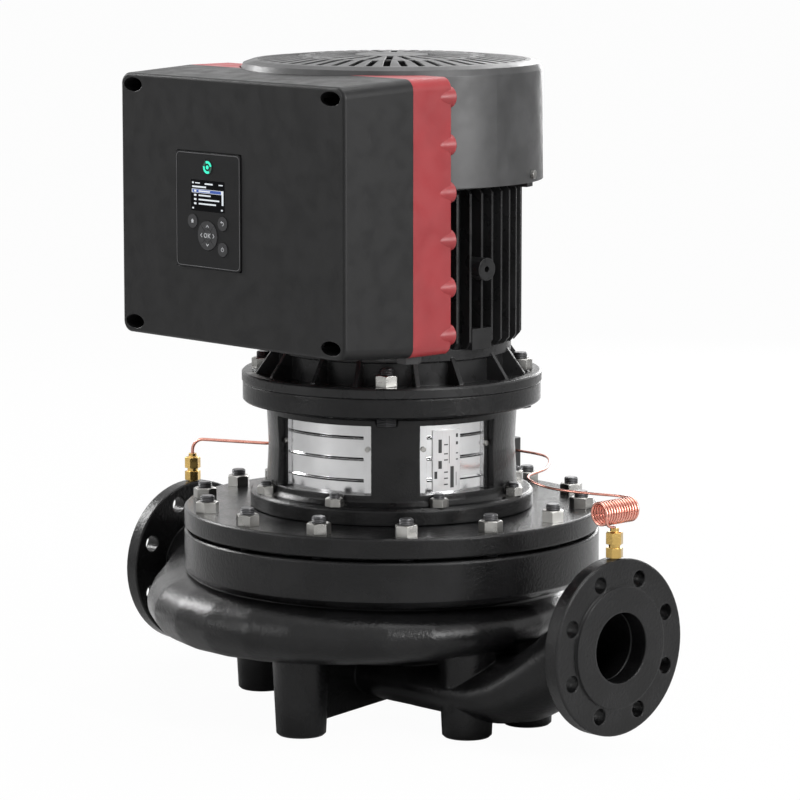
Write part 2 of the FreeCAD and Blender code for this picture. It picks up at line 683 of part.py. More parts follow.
def drive_shield():
    """End shield with the round motor flange, ribs and a bearing seat."""
    rim = MOTOR_FLANGE_OD / 2
    seat = BEARING_OD / 2
    top = SHIELD_TOP_OD / 2
    body = revolve([(seat - 14, STOOL_TOP - MOTOR_SPIGOT), (MOTOR_SPIGOT_OD / 2, STOOL_TOP - MOTOR_SPIGOT),
                    (MOTOR_SPIGOT_OD / 2, STOOL_TOP), (rim - 1, STOOL_TOP), (rim, STOOL_TOP + 1),
                    (rim, SHIELD_BASE - 2), (rim - 2, SHIELD_BASE), (rim - 12, SHIELD_BASE),
                    (rim - 14, SHIELD_BASE - 3), (top - 2, SHIELD_BASE - 3), (top - 2, FRAME_BOTTOM - 14),
                    (top + 4, FRAME_BOTTOM - 12), (top + 4, FRAME_BOTTOM), (FRAME_BORE / 2, FRAME_BOTTOM),
                    (FRAME_BORE / 2 - 3, SHIELD_BASE + 4), (seat + 9, SHIELD_BASE + 4),
                    (seat + 9, SHIELD_BASE + BEARING_WIDTH - 2), (seat, SHIELD_BASE + BEARING_WIDTH - 2),
                    (seat, SHIELD_BASE - 2), (seat - 14, SHIELD_BASE - 2)])
    rib = Part.Face(Part.makePolygon([vec(top - 6, 0, SHIELD_BASE - 4), vec(rim - 14, 0, SHIELD_BASE - 4),
                                      vec(rim - 16, 0, SHIELD_BASE + 1), vec(top + 4, 0, FRAME_BOTTOM - 8),
                                      vec(top - 6, 0, FRAME_BOTTOM - 8), vec(top - 6, 0, SHIELD_BASE - 4)]))
    rib = moved(rib.extrude(vec(0, 5, 0)), 0, -2.5)
    ribs = []
    for bolt in range(MOTOR_BOLTS):
        middle = MOTOR_BOLT_ANGLE + 360.0 / MOTOR_BOLTS * bolt
        ribs += [turned(rib, middle + offset) for offset in (-32.0, -13.0, 13.0, 32.0)]
    holes = stud_holes(MOTOR_BOLTS, MOTOR_BOLT_PCD, MOTOR_BOLT_HOLE / 2, STOOL_TOP - 1, SHIELD_BASE + 1,
                       MOTOR_BOLT_ANGLE)
    return single(fuse([body] + ribs).cut(holes))


def fin_angles():
    """Fins lie closer at the middle of each side and fan out to the corners."""
    angles = []
    for side in range(4):
        middle = 360.0 / 4 * side
        angles += [middle + offset for offset in (0, 6.5, 13.3, 20.6, 28.8, 37.5)]
        angles += [middle - offset for offset in (6.5, 13.3, 20.6, 28.8, 37.5, 45.0)]
    return angles


def behind_box(angle):
    """Whether a fin would stand on the flat that the control box sits on."""
    return abs((angle + 90.0 + 180.0) % 360.0 - 180.0) < BOX_FIN_ANGLE


def motor_frame():
    barrel = ring(FRAME_OD / 2, FRAME_BORE / 2, FRAME_BOTTOM, FRAME_TOP)
    inner = FRAME_OD / 2 - 2.0
    low = FRAME_BOTTOM + 1.0
    high = FRAME_TOP
    tip = FIN_OD / 2
    face = Part.Face(Part.makePolygon([vec(inner, 0, low + 3), vec(tip - 7, 0, low), vec(tip, 0, low + 8),
                                       vec(tip, 0, high - 4), vec(tip - 4, 0, high), vec(inner, 0, high),
                                       vec(inner, 0, low + 3)]))
    fin = moved(face.extrude(vec(0, FIN_THICKNESS, 0)), 0, -FIN_THICKNESS / 2)
    fins = [turned(fin, angle) for angle in fin_angles() if not behind_box(angle)]
    boss_length = FIN_OD / 2 + LIFT_BOSS_REACH - inner
    boss = Part.makeCylinder(LIFT_BOSS_RADIUS, boss_length, vec(inner, 0, LIFT_BOSS_Z), vec(1, 0, 0))
    bosses = [turned(boss, LIFT_BOSS_ANGLE), turned(boss, LIFT_BOSS_ANGLE + 180.0)]
    pad = Part.makeBox(26.0, 30.0, 24.0, vec(inner - 6.0, -15.0, FRAME_BOTTOM))
    pads = [turned(pad, angle) for angle in (0.0, 180.0)]
    frame = fuse([barrel] + fins + bosses + pads)
    hole = Part.makeCylinder(3.5, 18.0, vec(FIN_OD / 2, 0, LIFT_BOSS_Z), vec(1, 0, 0))
    return single(frame.cut([turned(hole, LIFT_BOSS_ANGLE), turned(hole, LIFT_BOSS_ANGLE + 180.0)]))


def stator_core():
    return ring(FRAME_BORE / 2 - 0.02, STATOR_BORE / 2, FRAME_BOTTOM + 40, FRAME_TOP - 36)


def stator_winding():
    coil = [(STATOR_BORE / 2 + 6, 0), (FRAME_BORE / 2 - 10, 0), (FRAME_BORE / 2 - 10, 20),
            (FRAME_BORE / 2 - 16, 26), (STATOR_BORE / 2 + 12, 26), (STATOR_BORE / 2 + 6, 20)]
    low = revolve([(radius, FRAME_BOTTOM + 40 - height) for radius, height in coil])
    high = revolve([(radius, FRAME_TOP - 36 + height) for radius, height in coil])
    return Part.makeCompound([low, high])


def rear_shield():
    """End shield away from the pump, with the lugs that carry the fan cover."""
    seat = BEARING_OD / 2
    body = revolve([(seat - 14, REAR_TOP), (FRAME_OD / 2 + 6, REAR_TOP), (FRAME_OD / 2 + 8, FRAME_TOP + 2),
                    (FRAME_OD / 2 + 8, FRAME_TOP), (FRAME_BORE / 2, FRAME_TOP),
                    (FRAME_BORE / 2 - 4, FRAME_TOP + 4), (seat + 8, FRAME_TOP + 4),
                    (seat + 8, REAR_TOP - 6 - BEARING_WIDTH),
                    (seat, REAR_TOP - 6 - BEARING_WIDTH), (seat, REAR_TOP - 6), (seat - 14, REAR_TOP - 6)])
    return single(fuse([body] + fan_cover_lugs()))


def bearing(low, outer, inner):
    return ring(outer, inner, low, low + BEARING_WIDTH)


def bearing_levels():
    return (SHIELD_BASE - 2.0, REAR_TOP - 6.0 - BEARING_WIDTH)


def bearing_split():
    return MOTOR_SHAFT / 2 + 3.0 + (BEARING_OD - MOTOR_SHAFT) / 4


def bearing_outers():
    return Part.makeCompound([bearing(low, BEARING_OD / 2, bearing_split()) for low in bearing_levels()])


def bearing_inners():
    outer = bearing_split() - BEARING_CLEARANCE
    return Part.makeCompound([bearing(low, outer, MOTOR_SHAFT / 2 + 3.0) for low in bearing_levels()])


def fan_cover():
    """Sheet cup with a domed, slotted top."""
    outer = FAN_COVER_OD / 2
    sheet = FAN_COVER_SHEET
    top = FAN_COVER_TOP
    crown = top + FAN_COVER_DOME
    cup = revolve([(0, crown), (outer - 60, crown - 2.5), (outer - 14, top + 1.5),
                   (outer - 4, top - 2), (outer - 1.5, top - 9), (outer, FAN_COVER_BOTTOM),
                   (outer - sheet, FAN_COVER_BOTTOM), (outer - 1.5 - sheet, top - 9 - sheet),
                   (outer - 5 - sheet, top - 2 - sheet), (outer - 15, top + 1 - sheet),
                   (outer - 60, crown - 2.5 - sheet), (0, crown - sheet)])
    slot = Part.makeBox(outer - 20 - 42, GRILLE_SLOT, 40, vec(42, -GRILLE_SLOT / 2, top - 20))
    inner_slot = Part.makeBox(outer - 20 - 108, GRILLE_SLOT, 40, vec(108, -GRILLE_SLOT / 2, top - 20))
    slots = around(slot, GRILLE_SLOTS) + around(inner_slot, GRILLE_SLOTS, 180.0 / GRILLE_SLOTS)
    bands = ring(100.0, 94.0, top - 30, top + 30)
    opening = slots[0].multiFuse(slots[1:]).cut(bands)
    return single(cup.cut(opening))


def fan_cover_lugs():
    """Lugs of the rear shield, one behind each screw of the fan cover."""
    reach = FAN_COVER_OD / 2 - FAN_COVER_SHEET - 0.1
    start = FRAME_OD / 2 + 2
    lug = Part.makeBox(reach - start + 2, 16.0, REAR_TOP - FRAME_TOP, vec(start, -8, FRAME_TOP))
    lug = lug.common(disc(reach, FRAME_TOP - 1, REAR_TOP + 1))
    return [turned(lug, angle) for angle in FAN_SCREW_ANGLES]


def motor_bolts():
    """Hexagon bolts pushed up through the stool's top flange and the motor flange."""
    head = hexagon(BOLT_HEAD_FLATS, STOOL_TOP_LOW - BOLT_HEAD_HEIGHT, STOOL_TOP_LOW)
    high = SHIELD_BASE + NUT_HEIGHT + STUD_END
    shank = disc(STUD / 2, STOOL_TOP_LOW, high)
    tip = [edge for edge in shank.Edges if edge.BoundBox.ZMin > high - 0.5 and edge.Length > STUD]
    bolt = fuse([head, shank.makeChamfer(1.2, tip)])
    return Part.makeCompound(around(moved(bolt, MOTOR_BOLT_PCD / 2, 0), MOTOR_BOLTS, MOTOR_BOLT_ANGLE))


def fan_cover_screws():
    radius = FAN_COVER_OD / 2
    head = Part.makeCylinder(5.0, 4.0, vec(radius, 0, FAN_COVER_BOTTOM + 9), vec(1, 0, 0))
    return Part.makeCompound([turned(head, angle) for angle in FAN_SCREW_ANGLES])


# Rotating group

def motor_shaft():
    small = MOTOR_SHAFT / 2
    low, high = bearing_levels()
    return revolve([(0, MOTOR_SHAFT_END), (small - 1, MOTOR_SHAFT_END), (small, MOTOR_SHAFT_END + 1),
                    (small, low - 10), (small + 3, low - 10), (small + 3, low + BEARING_WIDTH),
                    (small + 6, low + BEARING_WIDTH), (small + 6, high), (small + 3, high),
                    (small + 3, high + BEARING_WIDTH), (small - 3, high + BEARING_WIDTH),
                    (small - 3, REAR_TOP + 62), (0, REAR_TOP + 62)])


def rotor_core():
    return ring(STATOR_BORE / 2 - AIR_GAP, MOTOR_SHAFT / 2 + 6, FRAME_BOTTOM + 36, FRAME_TOP - 32)


def cooling_fan():
    low = REAR_TOP + 14
    hub = ring(34, MOTOR_SHAFT / 2 - 3, low, low + 44)
    plate = ring(FAN_OD / 2 - 8, 33, low, low + 4)
    blade = Part.makeBox(FAN_OD / 2 - 31, 4, 62, vec(31, -2, low))
    blade = blade.cut(Part.makeBox(64, 6, 40, vec(26, -3, low + 43)))
    return single(fuse([hub, plate] + around(blade, FAN_BLADES)))


def coupling_half():
    """One of two split shells clamped round the two shaft ends."""
    shell = ring(COUPLING_OD / 2, PUMP_SHAFT / 2, COUPLING_BOTTOM, COUPLING_TOP)
    shell = shell.cut(disc(MOTOR_SHAFT / 2, MOTOR_SHAFT_END, COUPLING_TOP + 1))
    relief = ring(COUPLING_OD, COUPLING_OD / 2 - 7, (COUPLING_BOTTOM + COUPLING_TOP) / 2 - 6,
                  (COUPLING_BOTTOM + COUPLING_TOP) / 2 + 6)
    half = Part.makeBox(COUPLING_OD, 2 * COUPLING_OD, 2 * COUPLING_LENGTH,
                        vec(0.75, -COUPLING_OD, COUPLING_BOTTOM - 10))
    return single(shell.cut(relief).common(half).cut(coupling_screw_shapes(STUD / 4 + 0.1)))


def coupling_screw_shapes(radius):
    screws = []
    for level in (COUPLING_BOTTOM + 18, COUPLING_TOP - 18):
        for y in (-COUPLING_OD / 2 + 12, COUPLING_OD / 2 - 12):
            screws.append(Part.makeCylinder(radius, 48.0, vec(-24, y, level), vec(1, 0, 0)))
    return screws


def pump_shaft():
    radius = PUMP_SHAFT / 2
    bottom = EYE_BOTTOM + 8
    return revolve([(0, bottom), (8, bottom), (8, AXIS_HEIGHT - 2), (radius, AXIS_HEIGHT - 2),
                    (radius, PUMP_SHAFT_TOP), (0, PUMP_SHAFT_TOP)])


def vane():
    """Backward-curved vane between the shrouds."""
    inner, outer = EYE_RADIUS - 6.0, IMPELLER_OD / 2 - 1.0
    points = []
    for i in range(5):
        share = i / 4
        points.append(polar(inner + (outer - inner) * share, VANE_SWEEP * share ** 0.8))
    spine = Part.BSplineCurve()
    spine.interpolate(points)
    other = []
    for point in points:
        angle = math.atan2(point.y, point.x) + VANE_THICKNESS / point.Length
        other.append(polar(point.Length, math.degrees(angle)))
    back = Part.BSplineCurve()
    back.interpolate(other)
    ends = [Part.LineSegment(points[-1], other[-1]), Part.LineSegment(other[0], points[0])]
    wire = Part.Wire([spine.toShape(), ends[0].toShape(), back.toShape(), ends[1].toShape()])
    return moved(Part.Face(wire).extrude(vec(0, 0, 60.0)), 0, 0, EYE_BOTTOM + 10)


def impeller():
    """Closed impeller with its eye facing down."""
    rim = IMPELLER_OD / 2
    mid_low = AXIS_HEIGHT - IMPELLER_OUTLET / 2
    mid_high = AXIS_HEIGHT + IMPELLER_OUTLET / 2
    back = revolve([(8, AXIS_HEIGHT - 10), (20, AXIS_HEIGHT - 10), (40, mid_high - 4), (rim, mid_high),
                    (rim, mid_high + SHROUD), (34, mid_high + SHROUD), (25, mid_high + SHROUD + 8),
                    (25, HUB_TOP), (PUMP_SHAFT / 2, HUB_TOP), (PUMP_SHAFT / 2, AXIS_HEIGHT - 2),
                    (8, AXIS_HEIGHT - 2)])
    front = [(EYE_RADIUS, EYE_BOTTOM), (EYE_RADIUS + EYE_WALL, EYE_BOTTOM),
             (EYE_RADIUS + EYE_WALL, EYE_BOTTOM + 18),
             (EYE_RADIUS + 20, mid_low - SHROUD - 6), (rim, mid_low - SHROUD), (rim, mid_low),
             (EYE_RADIUS + 20, mid_low - 6), (EYE_RADIUS, EYE_BOTTOM + 20)]
    space = revolve([(0, AXIS_HEIGHT - 6), (40, mid_high - 3), (rim, mid_high + 1), (rim, mid_low - 1),
                     (EYE_RADIUS + 20, mid_low - 7), (EYE_RADIUS + 1, EYE_BOTTOM + 19),
                     (0, EYE_BOTTOM + 19)])
    vanes = [blade.common(space) for blade in around(vane(), IMPELLER_VANES)]
    return single(fuse([back, revolve(front)] + vanes))


def impeller_nut():
    low = AXIS_HEIGHT - 10 - NUT_HEIGHT
    return hexagon(NUT_FLATS, low, AXIS_HEIGHT - 10).cut(disc(8, low - 1, AXIS_HEIGHT))


def seal_head():
    """Rotating head of the shaft seal above the impeller hub."""
    radius = SEAL_HEAD_OD / 2
    return revolve([(PUMP_SHAFT / 2, HUB_TOP + 26), (radius, HUB_TOP + 26), (radius, COVER_TOP - 22),
                    (radius - 6, COVER_TOP - 16), (PUMP_SHAFT / 2, COVER_TOP - 16)])


def seal_spring():
    return ring(SEAL_HEAD_OD / 2 - 2, PUMP_SHAFT / 2 + 1.5, HUB_TOP + 0.1, HUB_TOP + 26)


def seal_seat():
    """Stationary ring pressed into the top of the cover hub."""
    low = COVER_TOP - 15.7
    return revolve([(PUMP_SHAFT / 2 + 1, low), (SEAL_BORE / 2, low), (SEAL_BORE / 2, COVER_TOP + 6),
                    (SEAL_BORE / 2 + 10, COVER_TOP + 6), (SEAL_BORE / 2 + 10, COVER_TOP + 12),
                    (PUMP_SHAFT / 2 + 1, COVER_TOP + 12)])


# Pressure lines and sensor

def fitting():
    """Brass screwed joint on a flange rim, from two hexagons and a neck."""
    base = AXIS_HEIGHT + FLANGE_OD / 2
    low_hex = hexagon(FITTING_FLATS, base + 1.0, base + 12.0)
    neck = disc(GAUGE_HOLE / 2, base - GAUGE_DEPTH + 4.0, base + 1.5)
    neck = neck.fuse(disc(6.5, base + 1.0, base + 24.0))
    top_hex = nut(0.01, FITTING_FLATS, base + 16.0, base + 30.0)
    collar = disc(5.0, base + 29.0, base + FITTING_HEIGHT)
    body = fuse([low_hex, neck, top_hex.common(disc(30, base, base + 40)), collar])
    return single(body.cut(disc(PIPE_RADIUS, base + 20.0, base + FITTING_HEIGHT + 1)))


def discharge_line():
    base = AXIS_HEIGHT + FLANGE_OD / 2 + 20.0
    x = -GAUGE_X
    route = [vec(x, 0, base), vec(x, 0, PIPE_LEVEL), vec(-275, 42, PIPE_LEVEL), vec(-190, 110, PIPE_LEVEL),
             vec(-110, SENSOR_Y, PIPE_LEVEL), vec(SENSOR_X - SENSOR_WIDTH / 2, SENSOR_Y, PIPE_LEVEL)]
    return tube(route, 26.0, PIPE_RADIUS)


def suction_line():
    """Riser, coil and run to the sensor, lying end to end."""
    base = AXIS_HEIGHT + FLANGE_OD / 2 + 20.0
    riser = disc(PIPE_RADIUS, base, PIPE_LEVEL - COIL_RADIUS + COIL_VALLEY + 0.6, GAUGE_X)
    return single(fuse([coil_line(), riser, suction_coil()]))


def suction_coil():
    """Coil of close turns, as a sleeve with a crest for each turn."""
    inner = COIL_RADIUS - 2 * PIPE_RADIUS
    profile = [(inner, 0), (COIL_RADIUS - COIL_VALLEY, 0)]
    for turn in range(COIL_TURNS):
        profile.append((COIL_RADIUS, (turn + 0.5) * COIL_PITCH))
        profile.append((COIL_RADIUS - COIL_VALLEY, (turn + 1) * COIL_PITCH))
    profile.append((inner, COIL_LENGTH))
    coil = revolve(profile)
    coil.rotate(vec(0, 0, 0), vec(1, 0, 0), -90)
    return moved(coil, GAUGE_X, -COIL_LENGTH / 2, PIPE_LEVEL)


def coil_line():
    """Run from the coil round the stool to the sensor."""
    level = PIPE_LEVEL + COIL_RADIUS - PIPE_RADIUS
    route = [vec(GAUGE_X, 6, level), vec(GAUGE_X - 58, 4, level), vec(GAUGE_X - 132, 14, level),
             vec(GAUGE_X - 181, 44, level), vec(GAUGE_X - 211, 104, level),
             vec(SENSOR_X + 100, SENSOR_Y, level), vec(SENSOR_X + SENSOR_WIDTH / 2, SENSOR_Y, level)]
    return tube(route, 40.0, PIPE_RADIUS)


def pressure_sensor():
    low = PIPE_LEVEL - 14.0
    block = Part.makeBox(SENSOR_WIDTH, SENSOR_DEPTH, SENSOR_HEIGHT,
                         vec(SENSOR_X - SENSOR_WIDTH / 2, SENSOR_Y - SENSOR_DEPTH / 2, low))
    upright = [edge for edge in block.Edges if edge.BoundBox.ZLength > SENSOR_HEIGHT - 1]
    block = block.makeFillet(5.0, upright)
    top = low + SENSOR_HEIGHT
    head = disc(15.0, top, top + 22.0, SENSOR_X, SENSOR_Y)
    socket = disc(7.0, top + 22.0, top + 36.0, SENSOR_X, SENSOR_Y)
    return single(fuse([block, head, socket]))


def sensor_bracket():
    """Bent strip from the stool's lower flange to the sensor."""
    low = COVER_TOP
    top = PIPE_LEVEL - 14.0
    strip = Part.makeBox(40.0, 34.0, 3.0, vec(SENSOR_X - 20.0, STOOL_LOW_OD / 2 + 0.3, low))
    strip = Part.makeBox(40.0, 3.0, top - low, vec(SENSOR_X - 20.0, STOOL_LOW_OD / 2 + 8.0, low)).fuse(strip)
    shelf = Part.makeBox(40.0, 20.0, 3.0, vec(SENSOR_X - 20.0, STOOL_LOW_OD / 2 + 1.0, top - 3.0))
    return single(fuse([strip, shelf]))


# Control box

def rounded_box(half_width, front, back, low, high, radius, draft):
    """Box with two round upright front corners; it widens by the draft towards the back."""
    def outline(y, grow):
        return [vec(-half_width - grow, y, low - grow), vec(half_width + grow, y, low - grow),
                vec(half_width + grow, y, high + grow), vec(-half_width - grow, y, high + grow)]
    near = outline(-front, -draft)
    far = outline(-back, 0.0)
    shell = Part.makeLoft([Part.makePolygon(near + [near[0]]), Part.makePolygon(far + [far[0]])], True, True)
    upright = [edge for edge in shell.Edges if edge.BoundBox.ZLength < 20 and edge.BoundBox.YLength > 20]
    shell = shell.makeFillet(radius, upright)
    rim = [edge for edge in shell.Edges if edge.BoundBox.YMax < -front + 0.5]
    return shell.makeFillet(BOX_RIM, rim)


def box_cover():
    """Dark front cover, an open shell."""
    half = BOX_WIDTH / 2
    shell = rounded_box(half, BOX_FRONT, BOX_SPLIT, BOX_BOTTOM, BOX_TOP, BOX_CORNER, BOX_DRAFT)
    inner_half = half - BOX_DRAFT - 2 * BOX_WALL
    hollow = Part.makeBox(2 * inner_half, BOX_FRONT - BOX_SPLIT, BOX_TOP - BOX_BOTTOM - 2 * BOX_LEDGE,
                          vec(-inner_half, -BOX_FRONT + BOX_WALL, BOX_BOTTOM + BOX_LEDGE))
    wells = [box_well(x, z) for x, z in box_screw_places()]
    fan_room = disc(FAN_COVER_OD / 2 + RUNNING_GAP, FRAME_TOP - 1, BOX_TOP + 20)
    return single(shell.cut([hollow, fan_room, panel_pocket()] + wells))


def box_well(x, z):
    """Oval well that a cover screw sits in."""
    front = -BOX_FRONT - 1.0
    oval = Part.Ellipse(vec(x + 16.0, front, z), vec(x, front, z + 8.0), vec(x, front, z))
    return Part.Face(Part.Wire(oval.toShape())).extrude(vec(0, BOX_WELL_DEPTH, 0))


def box_screw_places():
    half = BOX_WIDTH / 2 - BOX_SCREW_INSET
    return [(x, z) for x in (-half, half) for z in (BOX_BOTTOM + BOX_SCREW_EDGE, BOX_TOP - BOX_SCREW_EDGE)]


def box_screws():
    heads = []
    for x, z in box_screw_places():
        head = Part.makeCylinder(6.0, 6.0, vec(x, -BOX_FRONT + BOX_WELL_DEPTH - 7.0, z), vec(0, 1, 0))
        heads.append(head)
    return Part.makeCompound(heads)


def box_base():
    """Cast rear half of the box, hollow towards the front and saddled round the motor."""
    half = BOX_WIDTH / 2
    height = BOX_TOP - BOX_BOTTOM
    block = Part.makeBox(BOX_WIDTH, BOX_BASE_DEPTH, height, vec(-half, -BOX_SPLIT, BOX_BOTTOM))
    long_edges = [edge for edge in block.Edges if edge.BoundBox.YLength > 10]
    block = block.makeFillet(BOX_CORNER, long_edges)
    saddle = disc(FAN_COVER_OD / 2 + RUNNING_GAP, FRAME_TOP - 1, BOX_TOP + 1)
    low_saddle = disc(FRAME_OD / 2 + RUNNING_GAP, BOX_BOTTOM - 1, FRAME_TOP)
    pocket_side = Part.makeBox(2 * (half - 10), 18.0, height - 30,
                               vec(-half + 10, -BOX_SPLIT - 0.01, BOX_BOTTOM + 15))
    pocket_side = pocket_side.cut(disc(FAN_COVER_OD / 2 + 6.0, BOX_BOTTOM, BOX_TOP))
    cones = []
    pitch = (height - 44.0) / (CONES - 1)
    for i in range(CONES):
        z = BOX_BOTTOM + 22.0 + i * pitch
        for side in (-1, 1):
            cone = Part.makeCone(1.5, CONE_RADIUS, CONE_LENGTH,
                                 vec(side * (half - 7.0), -BOX_REAR - CONE_LENGTH + 4.0, z), vec(0, 1, 0))
            cones.append(cone)
    shell = block.cut([saddle, low_saddle, pocket_side, fin_space()])
    return single(fuse([shell] + cones + board_posts()))


def fin_space():
    """Room for the fins that reach past the flat of the frame on either side of the box."""
    room = disc(FIN_OD / 2 + 1.0, BOX_BOTTOM - 1, FRAME_TOP)
    middle = Part.makeBox(2 * BOX_HALF_FLAT, FIN_OD, BOX_TOP, vec(-BOX_HALF_FLAT, -FIN_OD, 0))
    return room.cut(middle)


# Control panel

def panel_pocket():
    return Part.makeBox(PANEL_WIDTH, 1.0 + PANEL_DEPTH - PANEL_RAISE + RUNNING_GAP, PANEL_HEIGHT,
                        vec(PANEL_X - PANEL_WIDTH / 2, -BOX_FRONT - 1.0, PANEL_Z - PANEL_HEIGHT / 2))


def panel_frame():
    """Panel plate with room for the keys, the display and the light."""
    plate = Part.makeBox(PANEL_WIDTH - 1.0, PANEL_DEPTH, PANEL_HEIGHT - 1.0,
                         vec(PANEL_X - PANEL_WIDTH / 2 + 0.5, PANEL_FACE, PANEL_Z - PANEL_HEIGHT / 2 + 0.5))
    corners = [edge for edge in plate.Edges if edge.BoundBox.YLength > PANEL_DEPTH - 1]
    plate = plate.makeFillet(4.0, corners)
    depth = PANEL_DEPTH + 1.0
    cutters = [panel_disc(radius + KEY_GAP, KEY_PROUD, depth, x, z) for x, z, radius in ROUND_KEYS.values()]
    cutters.append(panel_disc(PAD_RADIUS + KEY_GAP, KEY_PROUD, depth, 0.0, PAD_Z))
    cutters += [window_body(0.0), light_body(0.0)]
    return single(plate.cut(cutters))


def panel_disc(radius, proud, depth, x, z):
    """Round body set into the panel, standing proud of its face."""
    return Part.makeCylinder(radius, depth, vec(PANEL_X + x, PANEL_FACE - proud, PANEL_Z + z), vec(0, 1, 0))


def round_key(name):
    x, z, radius = ROUND_KEYS[name]
    return panel_disc(radius, KEY_PROUD, KEY_DEPTH, x, z)


def arrow_key(direction):
    """Quarter of the ring round the OK key."""
    face = PANEL_FACE - KEY_PROUD
    outer = panel_disc(PAD_RADIUS, KEY_PROUD, KEY_DEPTH, 0.0, PAD_Z)
    inner = panel_disc(OK_RADIUS + KEY_GAP, KEY_PROUD, KEY_DEPTH, 0.0, PAD_Z)
    centre = vec(PANEL_X, face, PANEL_Z + PAD_Z)
    reach = 2 * PAD_RADIUS
    tip = vec(KEY_GAP * math.sqrt(0.5), 0, 0)
    corners = [tip, tip + vec(reach, 0, reach), tip + vec(reach, 0, -reach), tip]
    quarter = Part.Face(Part.makePolygon(corners)).extrude(vec(0, KEY_DEPTH, 0))
    quarter.rotate(vec(0, 0, 0), vec(0, 1, 0), -direction)
    quarter.translate(centre)
    return single(outer.cut(inner).common(quarter))


def window_body(shrink):
    return Part.makeBox(WINDOW_WIDTH - 2 * shrink, 2.0, WINDOW_HEIGHT - 2 * shrink,
                        vec(PANEL_X - WINDOW_WIDTH / 2 + shrink, PANEL_FACE - 0.2,
                            PANEL_Z + WINDOW_Z + shrink))


def light_body(shrink):
    return panel_disc(LIGHT_RADIUS - shrink, 0.2, 2.0, 0.0, LIGHT_Z)


def control_board():
    """Circuit board on four posts, in front of the fan cover."""
    return Part.makeBox(BOX_WIDTH - 2 * BOARD_EDGE, 2.0, BOX_TOP - BOX_BOTTOM - 2 * BOARD_EDGE,
                        vec(-BOX_WIDTH / 2 + BOARD_EDGE, -BOX_SPLIT - BOARD_STAND - 2.0,
                            BOX_BOTTOM + BOARD_EDGE))


def board_posts():
    posts = []
    edge = BOARD_EDGE + 10.0
    for x in (-BOX_WIDTH / 2 + edge, BOX_WIDTH / 2 - edge):
        for z in (BOX_BOTTOM + edge, BOX_TOP - edge):
            foot_end = vec(x, -BOX_SPLIT - BOARD_STAND, z)
            posts.append(Part.makeCylinder(4.0, BOARD_STAND + 22.0, foot_end, vec(0, 1, 0)))
    return posts


def blank_plugs():
    """Blanking plugs of the cable entries under the box."""
    plugs = []
    collar = hexagon(24.0, BOX_BOTTOM - 9.0, BOX_BOTTOM - 0.3)
    for inset in (30.0, 65.0):
        for side in (-1, 1):
            plugs.append(moved(collar, side * (BOX_WIDTH / 2 - inset), -BOX_SPLIT + 22.0, 0))
    return Part.makeCompound(plugs)


def main():
    os.makedirs("parts", exist_ok=True)
    export(pump_casing(), "pump_casing")
    export(drain_plug(), "drain_plug")
    export(wear_ring(), "wear_ring")
    export(casing_cover(), "casing_cover")
    export(cover_o_ring(), "cover_o_ring")
    export(stud_group(COVER_STUDS, COVER_STUD_PCD, STUD / 2, CASING_TOP - STUD_DEPTH,
                      COVER_TOP + NUT_HEIGHT + STUD_END, 180.0 / COVER_STUDS), "cover_studs")
    export(nut_group(COVER_STUDS, COVER_STUD_PCD, STUD, NUT_FLATS, COVER_TOP, COVER_TOP + NUT_HEIGHT,
                     180.0 / COVER_STUDS), "cover_nuts")
    export(motor_stool(), "motor_stool")
    export(stud_group(STOOL_STUDS, STOOL_STUD_PCD, SMALL_STUD / 2, COVER_TOP - 17,
                      STOOL_LOW_TOP + SMALL_NUT_HEIGHT + 5, 180.0 / STOOL_STUDS), "stool_studs")
    export(nut_group(STOOL_STUDS, STOOL_STUD_PCD, SMALL_STUD, SMALL_NUT_FLATS, STOOL_LOW_TOP,
                     STOOL_LOW_TOP + SMALL_NUT_HEIGHT, 180.0 / STOOL_STUDS), "stool_nuts")
    for angle, span, name in WINDOWS:
        export(guard(angle, span), "coupling_guard_" + name)
    export(guard_screws(), "guard_screws")
    export(drive_shield(), "drive_shield")
    export(motor_frame(), "motor_frame")
    export(stator_core(), "stator_core")
    export(stator_winding(), "stator_winding")
    export(rear_shield(), "rear_shield")
    export(bearing_outers(), "bearing_outers")
    export(fan_cover(), "fan_cover")
    export(fan_cover_screws(), "fan_cover_screws")
    export(motor_bolts(), "motor_bolts")
    export(nut_group(MOTOR_BOLTS, MOTOR_BOLT_PCD, STUD, NUT_FLATS, SHIELD_BASE, SHIELD_BASE + NUT_HEIGHT,
                     MOTOR_BOLT_ANGLE), "motor_nuts")
    export(seal_seat(), "seal_seat")
    export(moved(fitting(), GAUGE_X, 0), "suction_fitting")
    export(moved(fitting(), -GAUGE_X, 0), "discharge_fitting")
    export(discharge_line(), "discharge_line")
    export(suction_line(), "suction_line")
    export(pressure_sensor(), "pressure_sensor")
    export(sensor_bracket(), "sensor_bracket")
    export(box_base(), "box_base")
    export(box_cover(), "box_cover")
    export(box_screws(), "box_screws")
    export(panel_frame(), "panel_frame")
    export(window_body(0.2), "display_window")
    export(light_body(0.2), "status_light")
    for name in ROUND_KEYS:
        export(round_key(name), name)
    for name, direction in ARROW_KEYS.items():
        export(arrow_key(direction), name)
    export(control_board(), "control_board")
    export(blank_plugs(), "blank_plugs")
    export(motor_shaft(), "motor_shaft")
    export(rotor_core(), "rotor_core")
    export(bearing_inners(), "bearing_inners")
    export(cooling_fan(), "cooling_fan")
    export(coupling_half(), "coupling_half_a")
    export(turned(coupling_half(), 180.0), "coupling_half_b")
    export(Part.makeCompound(coupling_screw_shapes(STUD / 4)), "coupling_screws")
    export(pump_shaft(), "pump_shaft")
    export(impeller(), "impeller")
    export(impeller_nut(), "impeller_nut")
    export(seal_head(), "seal_head")
    export(seal_spring(), "seal_spring")


main()
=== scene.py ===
import json
import math

